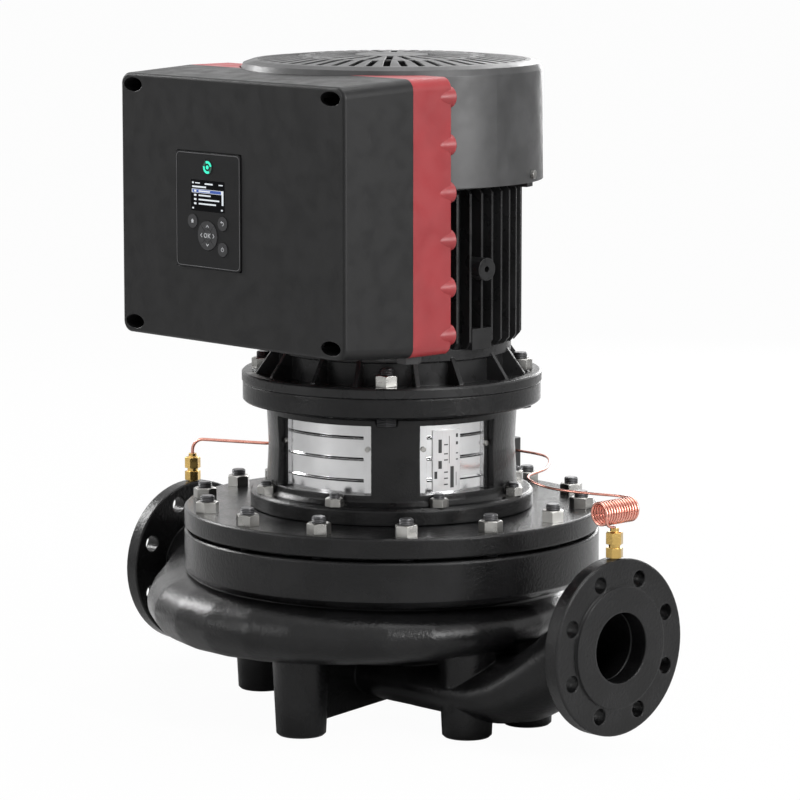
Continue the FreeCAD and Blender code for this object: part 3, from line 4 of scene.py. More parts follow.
import bpy
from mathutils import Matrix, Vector

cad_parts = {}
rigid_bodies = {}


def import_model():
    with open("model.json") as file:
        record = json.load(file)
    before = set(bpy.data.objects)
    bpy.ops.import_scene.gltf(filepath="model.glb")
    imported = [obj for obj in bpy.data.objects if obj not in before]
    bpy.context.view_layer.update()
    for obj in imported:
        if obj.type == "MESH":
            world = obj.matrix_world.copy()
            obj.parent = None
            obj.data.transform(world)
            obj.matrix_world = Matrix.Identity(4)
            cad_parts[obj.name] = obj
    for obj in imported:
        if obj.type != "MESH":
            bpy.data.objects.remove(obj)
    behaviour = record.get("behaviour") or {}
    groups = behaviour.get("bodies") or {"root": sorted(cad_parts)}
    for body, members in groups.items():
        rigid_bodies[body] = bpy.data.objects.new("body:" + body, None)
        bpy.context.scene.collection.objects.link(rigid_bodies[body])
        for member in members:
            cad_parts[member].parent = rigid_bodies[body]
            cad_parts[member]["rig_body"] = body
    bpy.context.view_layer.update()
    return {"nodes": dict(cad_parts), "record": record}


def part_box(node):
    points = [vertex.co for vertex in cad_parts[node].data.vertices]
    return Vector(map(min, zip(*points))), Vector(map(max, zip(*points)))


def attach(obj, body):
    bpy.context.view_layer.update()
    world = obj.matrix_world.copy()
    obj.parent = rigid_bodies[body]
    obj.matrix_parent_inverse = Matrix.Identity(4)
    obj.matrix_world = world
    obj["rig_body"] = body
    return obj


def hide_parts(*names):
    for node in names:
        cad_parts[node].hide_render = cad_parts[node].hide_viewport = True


# Looks of the in-line pump. Everything is in metres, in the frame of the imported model.
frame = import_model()
nodes = frame["nodes"]

# Camera
CAMERA_PLACE = (3.3941, -3.1408, 1.0283)
CAMERA_TILT = 90.0 - 8.18
CAMERA_TURN = 47.1
LENS = 179.9
SENSOR = 36.0

# Light: each lamp's name, place, width, height and power in watts
LAMP_TARGET = (0, 0, 0.4)
LAMPS = (("key_light", (3.2, -0.2, 2.0), 0.4, 2.0, 62.0),
         ("fill_light", (-1.3, -3.2, 1.5), 0.4, 2.0, 24.0),
         ("top_light", (0.2, 0.3, 3.2), 2.0, 2.0, 55.0),
         ("rim_light", (-1.5, 2.6, 1.4), 1.0, 2.0, 40.0))
SHEEN_LAMPS = (("sheen_left", (-3.2, -0.7, 2.0), 0.9, 1.2, 70.0),
               ("sheen_right", (3.4, 0.8, 1.3), 0.9, 1.2, 70.0))
WHITE_LIGHT = (1, 1, 1, 1)
WORLD_LEVEL = 0.35
FLOOR_GLOW = 0.97
FLOOR_SHADE = (0.8, 0.8, 0.8, 1.0)
FLOOR_REACH = 30.0

# Shading
WELD = 0.00002
SMOOTH_ANGLE = 28.0
PAINT_SPECULAR = 0.26
EDGE_FACING = (0.86, 0.985)
THREAD_SCALE = 160.0

# Shades
CAST_BLACK = (0.008, 0.008, 0.0083)
SATIN_BLACK = (0.016, 0.016, 0.0165)
RED = (0.325, 0.029, 0.034)
PANEL_SHADE = (0.008, 0.008, 0.0085)
KEY_SHADE = (0.046, 0.046, 0.048)
MARK_SHADE = (0.6, 0.61, 0.63)
LINE_SHADE = (0.15, 0.15, 0.155)


# Materials

class Surface:
    """A node material whose patterns are set out in metres on the object itself."""

    def __init__(self, name):
        self.material = bpy.data.materials.new(name)
        self.material.use_nodes = True
        self.tree = self.material.node_tree
        self.shader = self.tree.nodes["Principled BSDF"]
        self.place = self.add("ShaderNodeTexCoord").outputs["Object"]

    def add(self, kind, **settings):
        node = self.tree.nodes.new(kind)
        for key, value in settings.items():
            setattr(node, key, value)
        return node

    def join(self, source, target):
        self.tree.links.new(source, target)

    def stretched(self, x, y, z):
        mapping = self.add("ShaderNodeMapping")
        mapping.inputs["Scale"].default_value = (x, y, z)
        self.join(self.place, mapping.inputs["Vector"])
        return mapping.outputs["Vector"]

    def noise(self, size, detail=3.0, place=None):
        """Noise whose blobs are about this many metres across."""
        node = self.add("ShaderNodeTexNoise")
        node.inputs["Scale"].default_value = 1.0 / size
        node.inputs["Detail"].default_value = detail
        self.join(place or self.place, node.inputs["Vector"])
        return node.outputs["Fac"]

    def spread(self, value, low, high, out_low=0.0, out_high=1.0):
        node = self.add("ShaderNodeMapRange", interpolation_type="SMOOTHSTEP")
        limits = {"From Min": low, "From Max": high, "To Min": out_low, "To Max": out_high}
        for name, number in limits.items():
            node.inputs[name].default_value = number
        self.join(value, node.inputs["Value"])
        return node.outputs["Result"]

    def mix(self, share, first, second):
        """Colour between two, each a shade or another node's colour."""
        node = self.add("ShaderNodeMix", data_type="RGBA")
        self.join(share, node.inputs["Factor"])
        for place, colour in ((6, first), (7, second)):
            if isinstance(colour, tuple):
                node.inputs[place].default_value = (*colour, 1.0)
            else:
                self.join(colour, node.inputs[place])
        return node.outputs[2]

    def edge(self, radius):
        """Rounded normals near edges, and a mask that is 1 on them."""
        bevel = self.add("ShaderNodeBevel", samples=4)
        bevel.inputs["Radius"].default_value = radius
        flat = self.add("ShaderNodeNewGeometry")
        dot = self.add("ShaderNodeVectorMath", operation="DOT_PRODUCT")
        self.join(bevel.outputs["Normal"], dot.inputs[0])
        self.join(flat.outputs["Normal"], dot.inputs[1])
        return bevel.outputs["Normal"], self.spread(dot.outputs["Value"], *EDGE_FACING, 1.0, 0.0)

    def bump(self, height, distance, normal=None):
        node = self.add("ShaderNodeBump")
        node.inputs["Strength"].default_value = 1.0
        node.inputs["Distance"].default_value = distance
        self.join(height, node.inputs["Height"])
        if normal is not None:
            self.join(normal, node.inputs["Normal"])
        return node.outputs["Normal"]

    def finish(self, colour=None, roughness=None, normal=None, metal=0.0):
        if colour is not None:
            self.join(colour, self.shader.inputs["Base Color"])
        if roughness is not None:
            self.join(roughness, self.shader.inputs["Roughness"])
        if normal is not None:
            self.join(normal, self.shader.inputs["Normal"])
        self.shader.inputs["Metallic"].default_value = metal
        return self.material


def shade(colour, factor):
    return tuple(min(part * factor, 1.0) for part in colour)


def worn_surface(name, colour, rough, grain, depth, metal=0.0, wear=1.8, edge=0.0012, mottle=0.25,
                 specular=0.5):
    """Mottled and finely grained surface with rounded, slightly lighter edges."""
    s = Surface(name)
    s.shader.inputs["Specular IOR Level"].default_value = specular
    patches = s.spread(s.noise(0.05, 4.0), 0.35, 0.65)
    base = s.mix(patches, shade(colour, 1.0 - mottle), shade(colour, 1.0 + mottle))
    normal, mask = s.edge(edge)
    scuffs = s.add("ShaderNodeMath", operation="MULTIPLY")
    s.join(mask, scuffs.inputs[0])
    s.join(s.spread(s.noise(0.004, 5.0), 0.4, 0.62), scuffs.inputs[1])
    base = s.mix(scuffs.outputs[0], base, shade(colour, wear))
    fine = s.noise(grain, 2.0)
    normal = s.bump(fine, depth, normal)
    roughness = s.spread(s.noise(0.02, 5.0), 0.3, 0.7, rough - 0.06, rough + 0.07)
    return s.finish(base, roughness, normal, metal)


def casing_paint():
    """Black paint over cast iron: orange peel on a coarser cast skin."""
    s = Surface("casing_paint")
    patches = s.spread(s.noise(0.06, 4.0), 0.35, 0.65)
    base = s.mix(patches, shade(CAST_BLACK, 0.75), shade(CAST_BLACK, 1.3))
    normal, mask = s.edge(0.003)
    base = s.mix(mask, base, shade(CAST_BLACK, 2.2))
    normal = s.bump(s.noise(0.0035, 3.0), 0.0004, normal)
    normal = s.bump(s.noise(0.0012, 2.0), 0.0002, normal)
    roughness = s.spread(s.noise(0.03, 4.0), 0.3, 0.7, 0.17, 0.25)
    s.shader.inputs["Specular IOR Level"].default_value = PAINT_SPECULAR
    return s.finish(base, roughness, normal)


def motor_paint():
    return worn_surface("motor_paint", SATIN_BLACK, 0.3, 0.0014, 0.00012, wear=2.2, specular=PAINT_SPECULAR)


def fan_cover_paint():
    return worn_surface("fan_cover_paint", (0.04, 0.04, 0.041), 0.42, 0.0009, 0.00004, wear=1.7)


def box_black():
    return worn_surface("box_black", (0.0095, 0.0095, 0.0098), 0.42, 0.0011, 0.00005, wear=1.6, mottle=0.06,
                        specular=0.24)


def box_red():
    return worn_surface("box_red", RED, 0.42, 0.0012, 0.00006, wear=1.25, mottle=0.06, specular=0.4)


def machined_iron():
    return worn_surface("machined_iron", (0.32, 0.32, 0.33), 0.32, 0.0009, 0.00005, metal=1.0, wear=1.3)


def zinc():
    return worn_surface("zinc_nuts", (0.35, 0.345, 0.33), 0.3, 0.0008, 0.00003, metal=1.0, wear=1.5,
                        edge=0.0008)


def threaded_stud():
    """Dark stud with a thread of 2 mm pitch, with painted shade in its grooves and a painted highlight on its
    crests.
    """
    s = Surface("dark_studs")
    thread_relief = s.add("ShaderNodeTexWave", bands_direction="Z", wave_profile="TRI")
    thread_relief.inputs["Scale"].default_value = THREAD_SCALE
    thread_relief.inputs["Distortion"].default_value = 0.0
    s.join(s.place, thread_relief.inputs["Vector"])
    # Painted shade and highlight: the thread's roots are painted darker and its crests lighter, following the
    # bump.
    base = s.mix(thread_relief.outputs["Fac"], (0.03, 0.03, 0.032), (0.13, 0.13, 0.135))
    normal = s.bump(thread_relief.outputs["Fac"], 0.0006)
    roughness = s.spread(s.noise(0.003), 0.3, 0.7, 0.3, 0.45)
    return s.finish(base, roughness, normal, 0.8)


def stainless():
    """Bright sheet, brushed very finely along its length."""
    s = Surface("stainless")
    brushed = s.noise(0.0006, 3.0, s.stretched(0.05, 0.05, 1.0))
    base = s.mix(s.spread(s.noise(0.05), 0.3, 0.7), (0.58, 0.58, 0.585), (0.7, 0.7, 0.705))
    normal, mask = s.edge(0.0006)
    normal = s.bump(brushed, 0.000015, normal)
    roughness = s.spread(brushed, 0.3, 0.7, 0.12, 0.2)
    return s.finish(base, roughness, normal, 1.0)


def shaft_steel():
    s = Surface("shaft_steel")
    turned = s.noise(0.0008, 3.0, s.stretched(0.05, 0.05, 1.0))
    base = s.mix(turned, (0.4, 0.4, 0.41), (0.6, 0.6, 0.61))
    roughness = s.spread(turned, 0.3, 0.7, 0.18, 0.32)
    return s.finish(base, roughness, s.bump(turned, 0.00003), 1.0)


def laminated_steel():
    """Stacked sheets, seen as fine level lines."""
    s = Surface("core_steel")
    sheets = s.noise(0.0007, 2.0, s.stretched(0.02, 0.02, 1.0))
    base = s.mix(sheets, (0.1, 0.1, 0.1), (0.28, 0.28, 0.29))
    return s.finish(base, s.spread(sheets, 0.3, 0.7, 0.4, 0.6), s.bump(sheets, 0.0002), 0.9)


def copper_tube():
    s = Surface("copper")
    tarnish = s.spread(s.noise(0.012, 5.0), 0.35, 0.7)
    base = s.mix(tarnish, (0.74, 0.36, 0.29), (0.6, 0.26, 0.2))
    roughness = s.spread(s.noise(0.01, 4.0), 0.3, 0.7, 0.2, 0.28)
    return s.finish(base, roughness, s.bump(s.noise(0.002), 0.000004), 1.0)


def varnished_copper():
    """Wound wire under varnish, as fine rings."""
    s = Surface("winding_copper")
    wires = s.noise(0.001, 1.0, s.stretched(0.1, 0.1, 1.0))
    base = s.mix(wires, (0.2, 0.07, 0.03), (0.5, 0.22, 0.1))
    return s.finish(base, s.spread(wires, 0.3, 0.7, 0.25, 0.4), s.bump(wires, 0.0003), 0.6)


def brass():
    return worn_surface("brass", (0.62, 0.42, 0.14), 0.26, 0.0007, 0.00004, metal=1.0, wear=1.5, edge=0.0006)


def rubber():
    return worn_surface("rubber", (0.012, 0.012, 0.012), 0.7, 0.0006, 0.00005, wear=1.5)


def ceramic():
    return worn_surface("seal_ceramic", (0.2, 0.2, 0.21), 0.15, 0.0006, 0.00001, wear=1.2)


def moulded_plastic():
    return worn_surface("moulded_plastic", (0.02, 0.02, 0.021), 0.4, 0.0007, 0.00004, wear=1.6)


def panel_plastic():
    return worn_surface("panel_plastic", PANEL_SHADE, 0.48, 0.0008, 0.00001, wear=1.5, edge=0.0004,
                        mottle=0.05, specular=0.16)


def key_rubber():
    return worn_surface("key_rubber", KEY_SHADE, 0.55, 0.0004, 0.00003, wear=1.3, edge=0.0005, mottle=0.06,
                        specular=0.2)


def board_green():
    return worn_surface("board_green", (0.02, 0.13, 0.05), 0.35, 0.001, 0.00004, wear=1.3)


def glowing(name, colour, level):
    """Lit area behind a clear face, a little uneven as a real lamp is."""
    s = Surface(name)
    uneven = s.mix(s.noise(0.003, 2.0), shade(colour, 0.85), colour)
    s.join(uneven, s.shader.inputs["Emission Color"])
    s.shader.inputs["Emission Strength"].default_value = level
    return s.finish(s.mix(s.noise(0.003, 2.0), shade(colour, 0.3), shade(colour, 0.4)))


def screen_glass():
    """Dark screen under a clear cover."""
    s = Surface("display_glass")
    base = s.mix(s.noise(0.01), (0.0015, 0.0018, 0.0025), (0.003, 0.0034, 0.0045))
    s.shader.inputs["Specular IOR Level"].default_value = 0.12
    return s.finish(base, s.spread(s.noise(0.008, 4.0), 0.3, 0.7, 0.12, 0.2))


def bare_plate():
    """Sheet of anodised aluminium."""
    s = Surface("bare_plate")
    brushed = s.noise(0.0007, 3.0, s.stretched(1.0, 1.0, 0.04))
    base = s.mix(brushed, (0.4, 0.4, 0.405), (0.56, 0.56, 0.565))
    return s.finish(base, s.spread(brushed, 0.3, 0.7, 0.34, 0.5), s.bump(brushed, 0.00002), 0.7)


def printed_ink():
    return worn_surface("printed_ink", (0.015, 0.015, 0.015), 0.5, 0.0005, 0.00001, wear=1.05, edge=0.0002)


def printed_mark():
    return worn_surface("printed_mark", MARK_SHADE, 0.5, 0.0005, 0.00001, wear=1.05, edge=0.0002, mottle=0.04)


PAINTS = {
    "casing_paint": casing_paint(),
    "motor_paint": motor_paint(),
    "machined_iron": machined_iron(),
    "zinc_nuts": zinc(),
    "dark_studs": threaded_stud(),
    "stainless": stainless(),
    "shaft_steel": shaft_steel(),
    "core_steel": laminated_steel(),
    "winding_copper": varnished_copper(),
    "brass": brass(),
    "copper": copper_tube(),
    "rubber": rubber(),
    "seal_ceramic": ceramic(),
    "fan_plastic": moulded_plastic(),
    "box_red": box_red(),
    "box_black": box_black(),
    "panel_plastic": panel_plastic(),
    "display_glass": screen_glass(),
    "status_green": panel_plastic(),
    "key_rubber": key_rubber(),
    "board_green": board_green(),
    "sensor_plastic": moulded_plastic(),
}
MARK = printed_mark()
PANEL_LINE = worn_surface("panel_line", LINE_SHADE, 0.5, 0.0005, 0.00001, wear=1.05, edge=0.0002, mottle=0.04)
SCREEN_WHITE = glowing("screen_white", (0.85, 0.9, 0.95), 0.7)
SCREEN_BLUE = glowing("screen_blue", (0.02, 0.08, 0.4), 0.7)
STATUS = glowing("status_lamp", (0.03, 0.85, 0.55), 1.0)
STATUS_DIM = glowing("status_lamp_dim", (0.02, 0.1, 0.07), 0.6)
PLATE = bare_plate()
PLATE_INK = printed_ink()


def paint_nodes():
    """Gives each node the finish that the record names for it."""
    for part in frame["record"]["subparts"]:
        set_material(nodes[part["node"]], PAINTS[part["material_slot"]])
    set_material(nodes["fan_cover"], fan_cover_paint())


def smooth_cast(node, limit):
    """Welds the faces of a cast part and shades it smooth up to an edge angle."""
    group = bpy.data.node_groups.new("smooth_cast", "GeometryNodeTree")
    for way in ("INPUT", "OUTPUT"):
        group.interface.new_socket("Geometry", in_out=way, socket_type="NodeSocketGeometry")
    steps = [group.nodes.new(kind) for kind in (
        "NodeGroupInput", "GeometryNodeRemoveAttribute", "GeometryNodeMergeByDistance",
        "GeometryNodeSetShadeSmooth", "GeometryNodeSetShadeSmooth", "NodeGroupOutput")]
    first, plain, weld, faces, edges, last = steps
    plain.inputs["Name"].default_value = "custom_normal"
    weld.inputs["Distance"].default_value = WELD
    faces.domain = "FACE"
    edges.domain = "EDGE"
    angle = group.nodes.new("GeometryNodeInputMeshEdgeAngle")
    soft = group.nodes.new("FunctionNodeCompare")
    soft.operation = "LESS_THAN"
    soft.inputs["B"].default_value = math.radians(limit)
    group.links.new(angle.outputs["Unsigned Angle"], soft.inputs["A"])
    group.links.new(soft.outputs["Result"], edges.inputs["Shade Smooth"])
    for before, after in zip(steps, steps[1:]):
        group.links.new(before.outputs[0], after.inputs[0])
    nodes[node].modifiers.new("smooth_cast", "NODES").node_group = group


def set_material(piece, material):
    piece.data.materials.clear()
    piece.data.materials.append(material)


# Pieces

def add_piece(name, points, faces, material, body="root", smooth=False):
    mesh = bpy.data.meshes.new(name)
    mesh.from_pydata([tuple(point) for point in points], [], faces)
    mesh.validate()
    mesh.update()
    for polygon in mesh.polygons:
        polygon.use_smooth = smooth
    piece = bpy.data.objects.new(name, mesh)
    bpy.context.scene.collection.objects.link(piece)
    mesh.materials.append(material)
    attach(piece, body)
    return piece


def swept_tube(path, radius, sides=14):
    """Points and faces of a round tube along a smooth path."""
    points = []
    faces = []
    side = Vector((0, 0, 1))
    for i, place in enumerate(path):
        ahead = path[min(i + 1, len(path) - 1)] - path[max(i - 1, 0)]
        ahead.normalize()
        side = (side - ahead * side.dot(ahead))
        side = side.normalized() if side.length > 1e-6 else ahead.orthogonal().normalized()
        other = ahead.cross(side)
        for k in range(sides):
            turn = math.tau * k / sides
            points.append(place + (side * math.cos(turn) + other * math.sin(turn)) * radius)
    for i in range(len(path) - 1):
        for k in range(sides):
            after = (k + 1) % sides
            faces.append((i * sides + k, i * sides + after, (i + 1) * sides + after, (i + 1) * sides + k))
    faces.append(tuple(range(sides))[::-1])
    faces.append(tuple((len(path) - 1) * sides + k for k in range(sides)))
    return points, faces


def bent_plate(radius, thick, angles, levels, columns=12):
    """Thin sheet curved round the shaft between two angles and two levels."""
    points = []
    faces = []
    outer = radius + thick
    low, high = levels
    for i in range(columns + 1):
        turn = math.radians(angles[0] + (angles[1] - angles[0]) * i / columns)
        for r, z in ((radius, low), (radius, high), (outer, high), (outer, low)):
            points.append(Vector((r * math.cos(turn), r * math.sin(turn), z)))
    for i in range(columns):
        for k in range(4):
            after = (k + 1) % 4
            faces.append((4 * i + k, 4 * i + after, 4 * i + 4 + after, 4 * i + 4 + k))
    faces.append((3, 2, 1, 0))
    last = 4 * columns
    faces.append((last, last + 1, last + 2, last + 3))
    return points, faces


def front_shape(name, outline, front, thick, material, body="root"):
    """Flat shape on the front of the box, from (x, z) corners, standing out by its thickness."""
    count = len(outline)
    points = [Vector((x, front, z)) for x, z in outline] + [Vector((x, front - thick, z)) for x, z in outline]
    faces = [tuple(range(count)), tuple(range(2 * count - 1, count - 1, -1))]
    for k in range(count):
        after = (k + 1) % count
        faces.append((k, k + count, after + count, after))
    return add_piece(name, points, faces, material, body)


def bar(x, z, width, height):
    return [(x, z), (x + width, z), (x + width, z + height), (x, z + height)]


def arc_band(x, z, inner, outer, first, last, steps=18):
    """Part of a ring between two angles, as one outline."""
    turns = [math.radians(first + (last - first) * i / steps) for i in range(steps + 1)]
    out = [(x + outer * math.cos(t), z + outer * math.sin(t)) for t in turns]
    back = [(x + inner * math.cos(t), z + inner * math.sin(t)) for t in reversed(turns)]
    return out + back


def floor():
    """Wide level floor that the pump stands on."""
    reach = FLOOR_REACH
    points = [(-reach, -reach, 0), (reach, -reach, 0), (reach, reach, 0), (-reach, reach, 0)]
    mesh = bpy.data.meshes.new("floor")
    mesh.from_pydata(points, [], [(0, 1, 2, 3)])
    piece = bpy.data.objects.new("floor", mesh)
    bpy.context.scene.collection.objects.link(piece)
    mesh.materials.append(floor_material())


def white_rays(tree):
    """1 for rays from the camera, or mirrored or passed through, and 0 for the rest."""
    path = tree.nodes.new("ShaderNodeLightPath")
    first = tree.nodes.new("ShaderNodeMath")
    first.operation = "MAXIMUM"
    second = tree.nodes.new("ShaderNodeMath")
    second.operation = "MAXIMUM"
    tree.links.new(path.outputs["Is Camera Ray"], first.inputs[0])
    tree.links.new(path.outputs["Is Transmission Ray"], first.inputs[1])
    tree.links.new(first.outputs[0], second.inputs[0])
    tree.links.new(path.outputs["Is Glossy Ray"], second.inputs[1])
    return first.outputs[0], second.outputs[0]


def floor_material():
    """White to the camera, apart from a faint shadow under the pump."""
    material = bpy.data.materials.new("floor")
    material.use_nodes = True
    tree = material.node_tree
    tree.nodes.remove(tree.nodes["Principled BSDF"])
    matt = tree.nodes.new("ShaderNodeBsdfDiffuse")
    matt.inputs["Color"].default_value = FLOOR_SHADE
    glow = tree.nodes.new("ShaderNodeEmission")
    blend = tree.nodes.new("ShaderNodeMixShader")
    share = tree.nodes.new("ShaderNodeMath")
    share.operation = "MULTIPLY"
    share.inputs[1].default_value = FLOOR_GLOW
    seen, _ = white_rays(tree)
    tree.links.new(seen, share.inputs[0])
    tree.links.new(share.outputs[0], blend.inputs["Fac"])
    tree.links.new(matt.outputs[0], blend.inputs[1])
    tree.links.new(glow.outputs[0], blend.inputs[2])
    tree.links.new(blend.outputs[0], tree.nodes["Material Output"].inputs["Surface"])
    return material


def world():
    """White behind the pump, and a dimmer even light on it."""
    studio = bpy.data.worlds.new("studio")
    bpy.context.scene.world = studio
    studio.use_nodes = True
    tree = studio.node_tree
    dim = tree.nodes["Background"]
    dim.inputs["Color"].default_value = WHITE_LIGHT
    dim.inputs["Strength"].default_value = WORLD_LEVEL
    bright = tree.nodes.new("ShaderNodeBackground")
    bright.inputs["Color"].default_value = WHITE_LIGHT
    blend = tree.nodes.new("ShaderNodeMixShader")
    _, seen = white_rays(tree)
    tree.links.new(seen, blend.inputs["Fac"])
    tree.links.new(dim.outputs[0], blend.inputs[1])
    tree.links.new(bright.outputs[0], blend.inputs[2])
    tree.links.new(blend.outputs[0], tree.nodes["World Output"].inputs["Surface"])


def softbox(name, place, width, height, power):
    lamp = bpy.data.lights.new(name, "AREA")
    lamp.shape = "RECTANGLE"
    lamp.size = width
    lamp.size_y = height
    lamp.energy = power
    holder = bpy.data.objects.new(name, lamp)
    bpy.context.scene.collection.objects.link(holder)
    holder.location = place
    way = Vector(LAMP_TARGET) - Vector(place)
    holder.rotation_euler = way.to_track_quat("-Z", "Y").to_euler()
    return holder


def lights():
    """Plain soft light, and two lamps that only shine in glossy paint."""
    for name, place, width, height, power in LAMPS:
        softbox(name, place, width, height, power)
    for name, place, width, height, power in SHEEN_LAMPS:
        softbox(name, place, width, height, power).visible_diffuse = False


def camera():
    lens = bpy.data.cameras.new("camera")
    lens.lens = LENS
    lens.sensor_width = SENSOR
    lens.clip_end = 100.0
    holder = bpy.data.objects.new("camera", lens)
    bpy.context.scene.collection.objects.link(holder)
    holder.location = CAMERA_PLACE
    holder.rotation_euler = (math.radians(CAMERA_TILT), 0.0, math.radians(CAMERA_TURN))
    bpy.context.scene.camera = holder


def look():
    settings = bpy.context.scene.view_settings
    settings.view_transform = "Standard"


# Copper line with its coil

TUBE_RADIUS = 0.0015
COIL_RADIUS = 0.014
COIL_HALF = 0.0253
COIL_START = -20.0
COIL_END = 90.0 + 12 * 360.0
COIL_STEPS = 20

# Riser: its first places from the middle of the fitting's top, and its last from the coil's middle
RISER = ((0.0, 0.0, -0.01), (0.0, 0.0, 0.0005), (0.007, -0.011, 0.0025))
RISER_END = (0.011, -0.022, -0.0115)

# Run to the sensor, as (x, y) on the level of the coil's top
COIL_RUN = ((0.343, 0.0245), (0.312, 0.014), (0.27, 0.006), (0.231, 0.014), (0.182, 0.044), (0.152, 0.104),
            (0.09, 0.165))
SENSOR_DEPTH = 0.002
SENSOR_LEVEL_Y = 0.172


def coil_path():
    """Riser from the fitting, the turns of the coil, and the run to the sensor."""
    fitting_low, fitting_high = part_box("suction_fitting")
    _, line_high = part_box("suction_line")
    _, sensor_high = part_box("pressure_sensor")
    x = (fitting_low.x + fitting_high.x) / 2
    coil = COIL_RADIUS - TUBE_RADIUS
    level = line_high.z - COIL_RADIUS
    riser = [Vector((x, 0.0, fitting_high.z)) + Vector(place) for place in RISER]
    riser.append(Vector((x, 0.0, level)) + Vector(RISER_END))
    count = round((COIL_END - COIL_START) / 360.0 * COIL_STEPS)
    turns = []
    for i in range(count + 1):
        turn = math.radians(COIL_START + (COIL_END - COIL_START) * i / count)
        y = (2.0 * i / count - 1.0) * COIL_HALF
        turns.append(Vector((x + coil * math.cos(turn), y, level + coil * math.sin(turn))))
    run = [Vector((place_x, place_y, level + coil)) for place_x, place_y in COIL_RUN]
    run.append(Vector((sensor_high.x - SENSOR_DEPTH, SENSOR_LEVEL_Y, level + coil)))
    return smooth_run(riser + turns[:1])[:-1] + turns + smooth_run(turns[-1:] + run)[1:]


def smooth_run(points, steps=8):
    """Curve through the points, each stretch bent by its neighbours."""
    result = []
    for i in range(len(points) - 1):
        before = points[max(i - 1, 0)]
        start = points[i]
        end = points[i + 1]
        after = points[min(i + 2, len(points) - 1)]
        for k in range(steps):
            t = k / steps
            bend = 2 * before - 5 * start + 4 * end - after
            twist = 3 * start - before - 3 * end + after
            result.append(0.5 * (2 * start + (end - before) * t + bend * t * t + twist * t ** 3))
    result.append(points[-1])
    return result


def suction_line():
    points, faces = swept_tube(coil_path(), TUBE_RADIUS)
    piece = add_piece("suction_line_tube", points, faces, PAINTS["copper"], smooth=True)
    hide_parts("suction_line")


# Plate on the right guard

PRINT_THICK = 0.0001
PLATE_ANGLES = (-22.8, -7.9)
PLATE_LEVELS = (0.276, 0.3465)
PLATE_SINK = 0.0008
PLATE_THICK = 0.0008

# Dark fields of the plate, each as left, right, bottom and top in shares of its width and height
PLATE_FIELDS = ((0.2, 0.32, 0.63, 0.85), (0.2, 0.32, 0.37, 0.5), (0.06, 0.16, 0.21, 0.33),
                (0.63, 0.76, 0.05, 0.4), (0.4, 0.54, 0.1, 0.12), (0.4, 0.54, 0.2, 0.22),
                (0.4, 0.54, 0.3, 0.32), (0.4, 0.54, 0.5, 0.52), (0.4, 0.54, 0.6, 0.62),
                (0.4, 0.54, 0.75, 0.77), (0.84, 0.92, 0.5, 0.52), (0.84, 0.92, 0.6, 0.62),
                (0.84, 0.92, 0.75, 0.8), (0.84, 0.92, 0.87, 0.93), (0.58, 0.6, 0.45, 0.9),
                (0.84, 0.86, 0.08, 0.3))


def share_of(limits, share):
    return limits[0] + (limits[1] - limits[0]) * share


def rating_plate():
    """Thin bent plate on the right guard, with plain dark fields."""
    _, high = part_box("coupling_guard_right")
    radius = high.x - PLATE_SINK
    points, faces = bent_plate(radius, PLATE_THICK, PLATE_ANGLES, PLATE_LEVELS)
    add_piece("rating_plate", points, faces, PLATE)
    for i, (left, right, bottom, top) in enumerate(PLATE_FIELDS):
        angles = (share_of(PLATE_ANGLES, left), share_of(PLATE_ANGLES, right))
        levels = (share_of(PLATE_LEVELS, bottom), share_of(PLATE_LEVELS, top))
        points, faces = bent_plate(radius + PLATE_THICK, PRINT_THICK, angles, levels, 3)
        add_piece("plate_field_%d" % i, points, faces, PLATE_INK)


# Screen, border and status light

LAMP_THICK = 0.0002
STATUS_BAND = (0.5, 0.82)
STATUS_DOT = 0.26
STATUS_ARCS = (("up", 10, 115, STATUS), ("left", 120, 165, STATUS_DIM), ("down", 170, 300, STATUS),
               ("right", 305, 365, STATUS_DIM))
BORDER_INSET = 0.0012
BORDER_CORNER = 0.006
BORDER_WIDTH = 0.0006
SCREEN_LINES = 8.0
SCREEN_ROWS = (0.34, 0.36, 0.62, 0.52)
FIRST_ROW = 3.08
ROW_PITCH = 1.1

# Bars of the screen: name, left in widths, drop in lines, width in widths, height in lines, layer, shade
SCREEN_BARS = (("signal", 0.04, 0.95, 0.05, 0.45, 0, SCREEN_WHITE),
               ("clock", 0.13, 0.9, 0.14, 0.28, 0, SCREEN_WHITE),
               ("heading", 0.42, 1.05, 0.24, 0.4, 0, SCREEN_WHITE),
               ("date", 0.84, 1.0, 0.12, 0.28, 0, SCREEN_WHITE),
               ("title", 0.04, 1.95, 0.42, 0.42, 0, SCREEN_WHITE),
               ("left_corner", 0.04, 7.55, 0.05, 0.4, 0, SCREEN_WHITE),
               ("right_corner", 0.91, 7.55, 0.05, 0.4, 0, SCREEN_WHITE),
               ("slider", 0.93, 6.1, 0.05, 3.8, 0, SCREEN_WHITE),
               ("chosen_edge", 0.03, 3.32, 0.9, 0.98, 0, SCREEN_WHITE),
               ("chosen_row", 0.05, 3.22, 0.86, 0.78, 1, SCREEN_BLUE))


def screen():
    """Plain bars in rows, one row chosen."""
    bars = list(SCREEN_BARS)
    for i, length in enumerate(SCREEN_ROWS):
        drop = FIRST_ROW + i * ROW_PITCH
        bars.append(("box_%d" % i, 0.1, drop, 0.07, 0.5, 2, SCREEN_WHITE))
        bars.append(("row_%d" % i, 0.24, drop - 0.06, length, 0.38, 2, SCREEN_WHITE))
    low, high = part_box("display_window")
    width = high.x - low.x
    line = (high.z - low.z) / SCREEN_LINES
    for name, left, drop, length, height, layer, material in bars:
        outline = bar(low.x + left * width, high.z - drop * line, length * width, height * line)
        front = low.y - (2 + layer) * PRINT_THICK
        front_shape("screen_" + name, outline, front, PRINT_THICK, material)


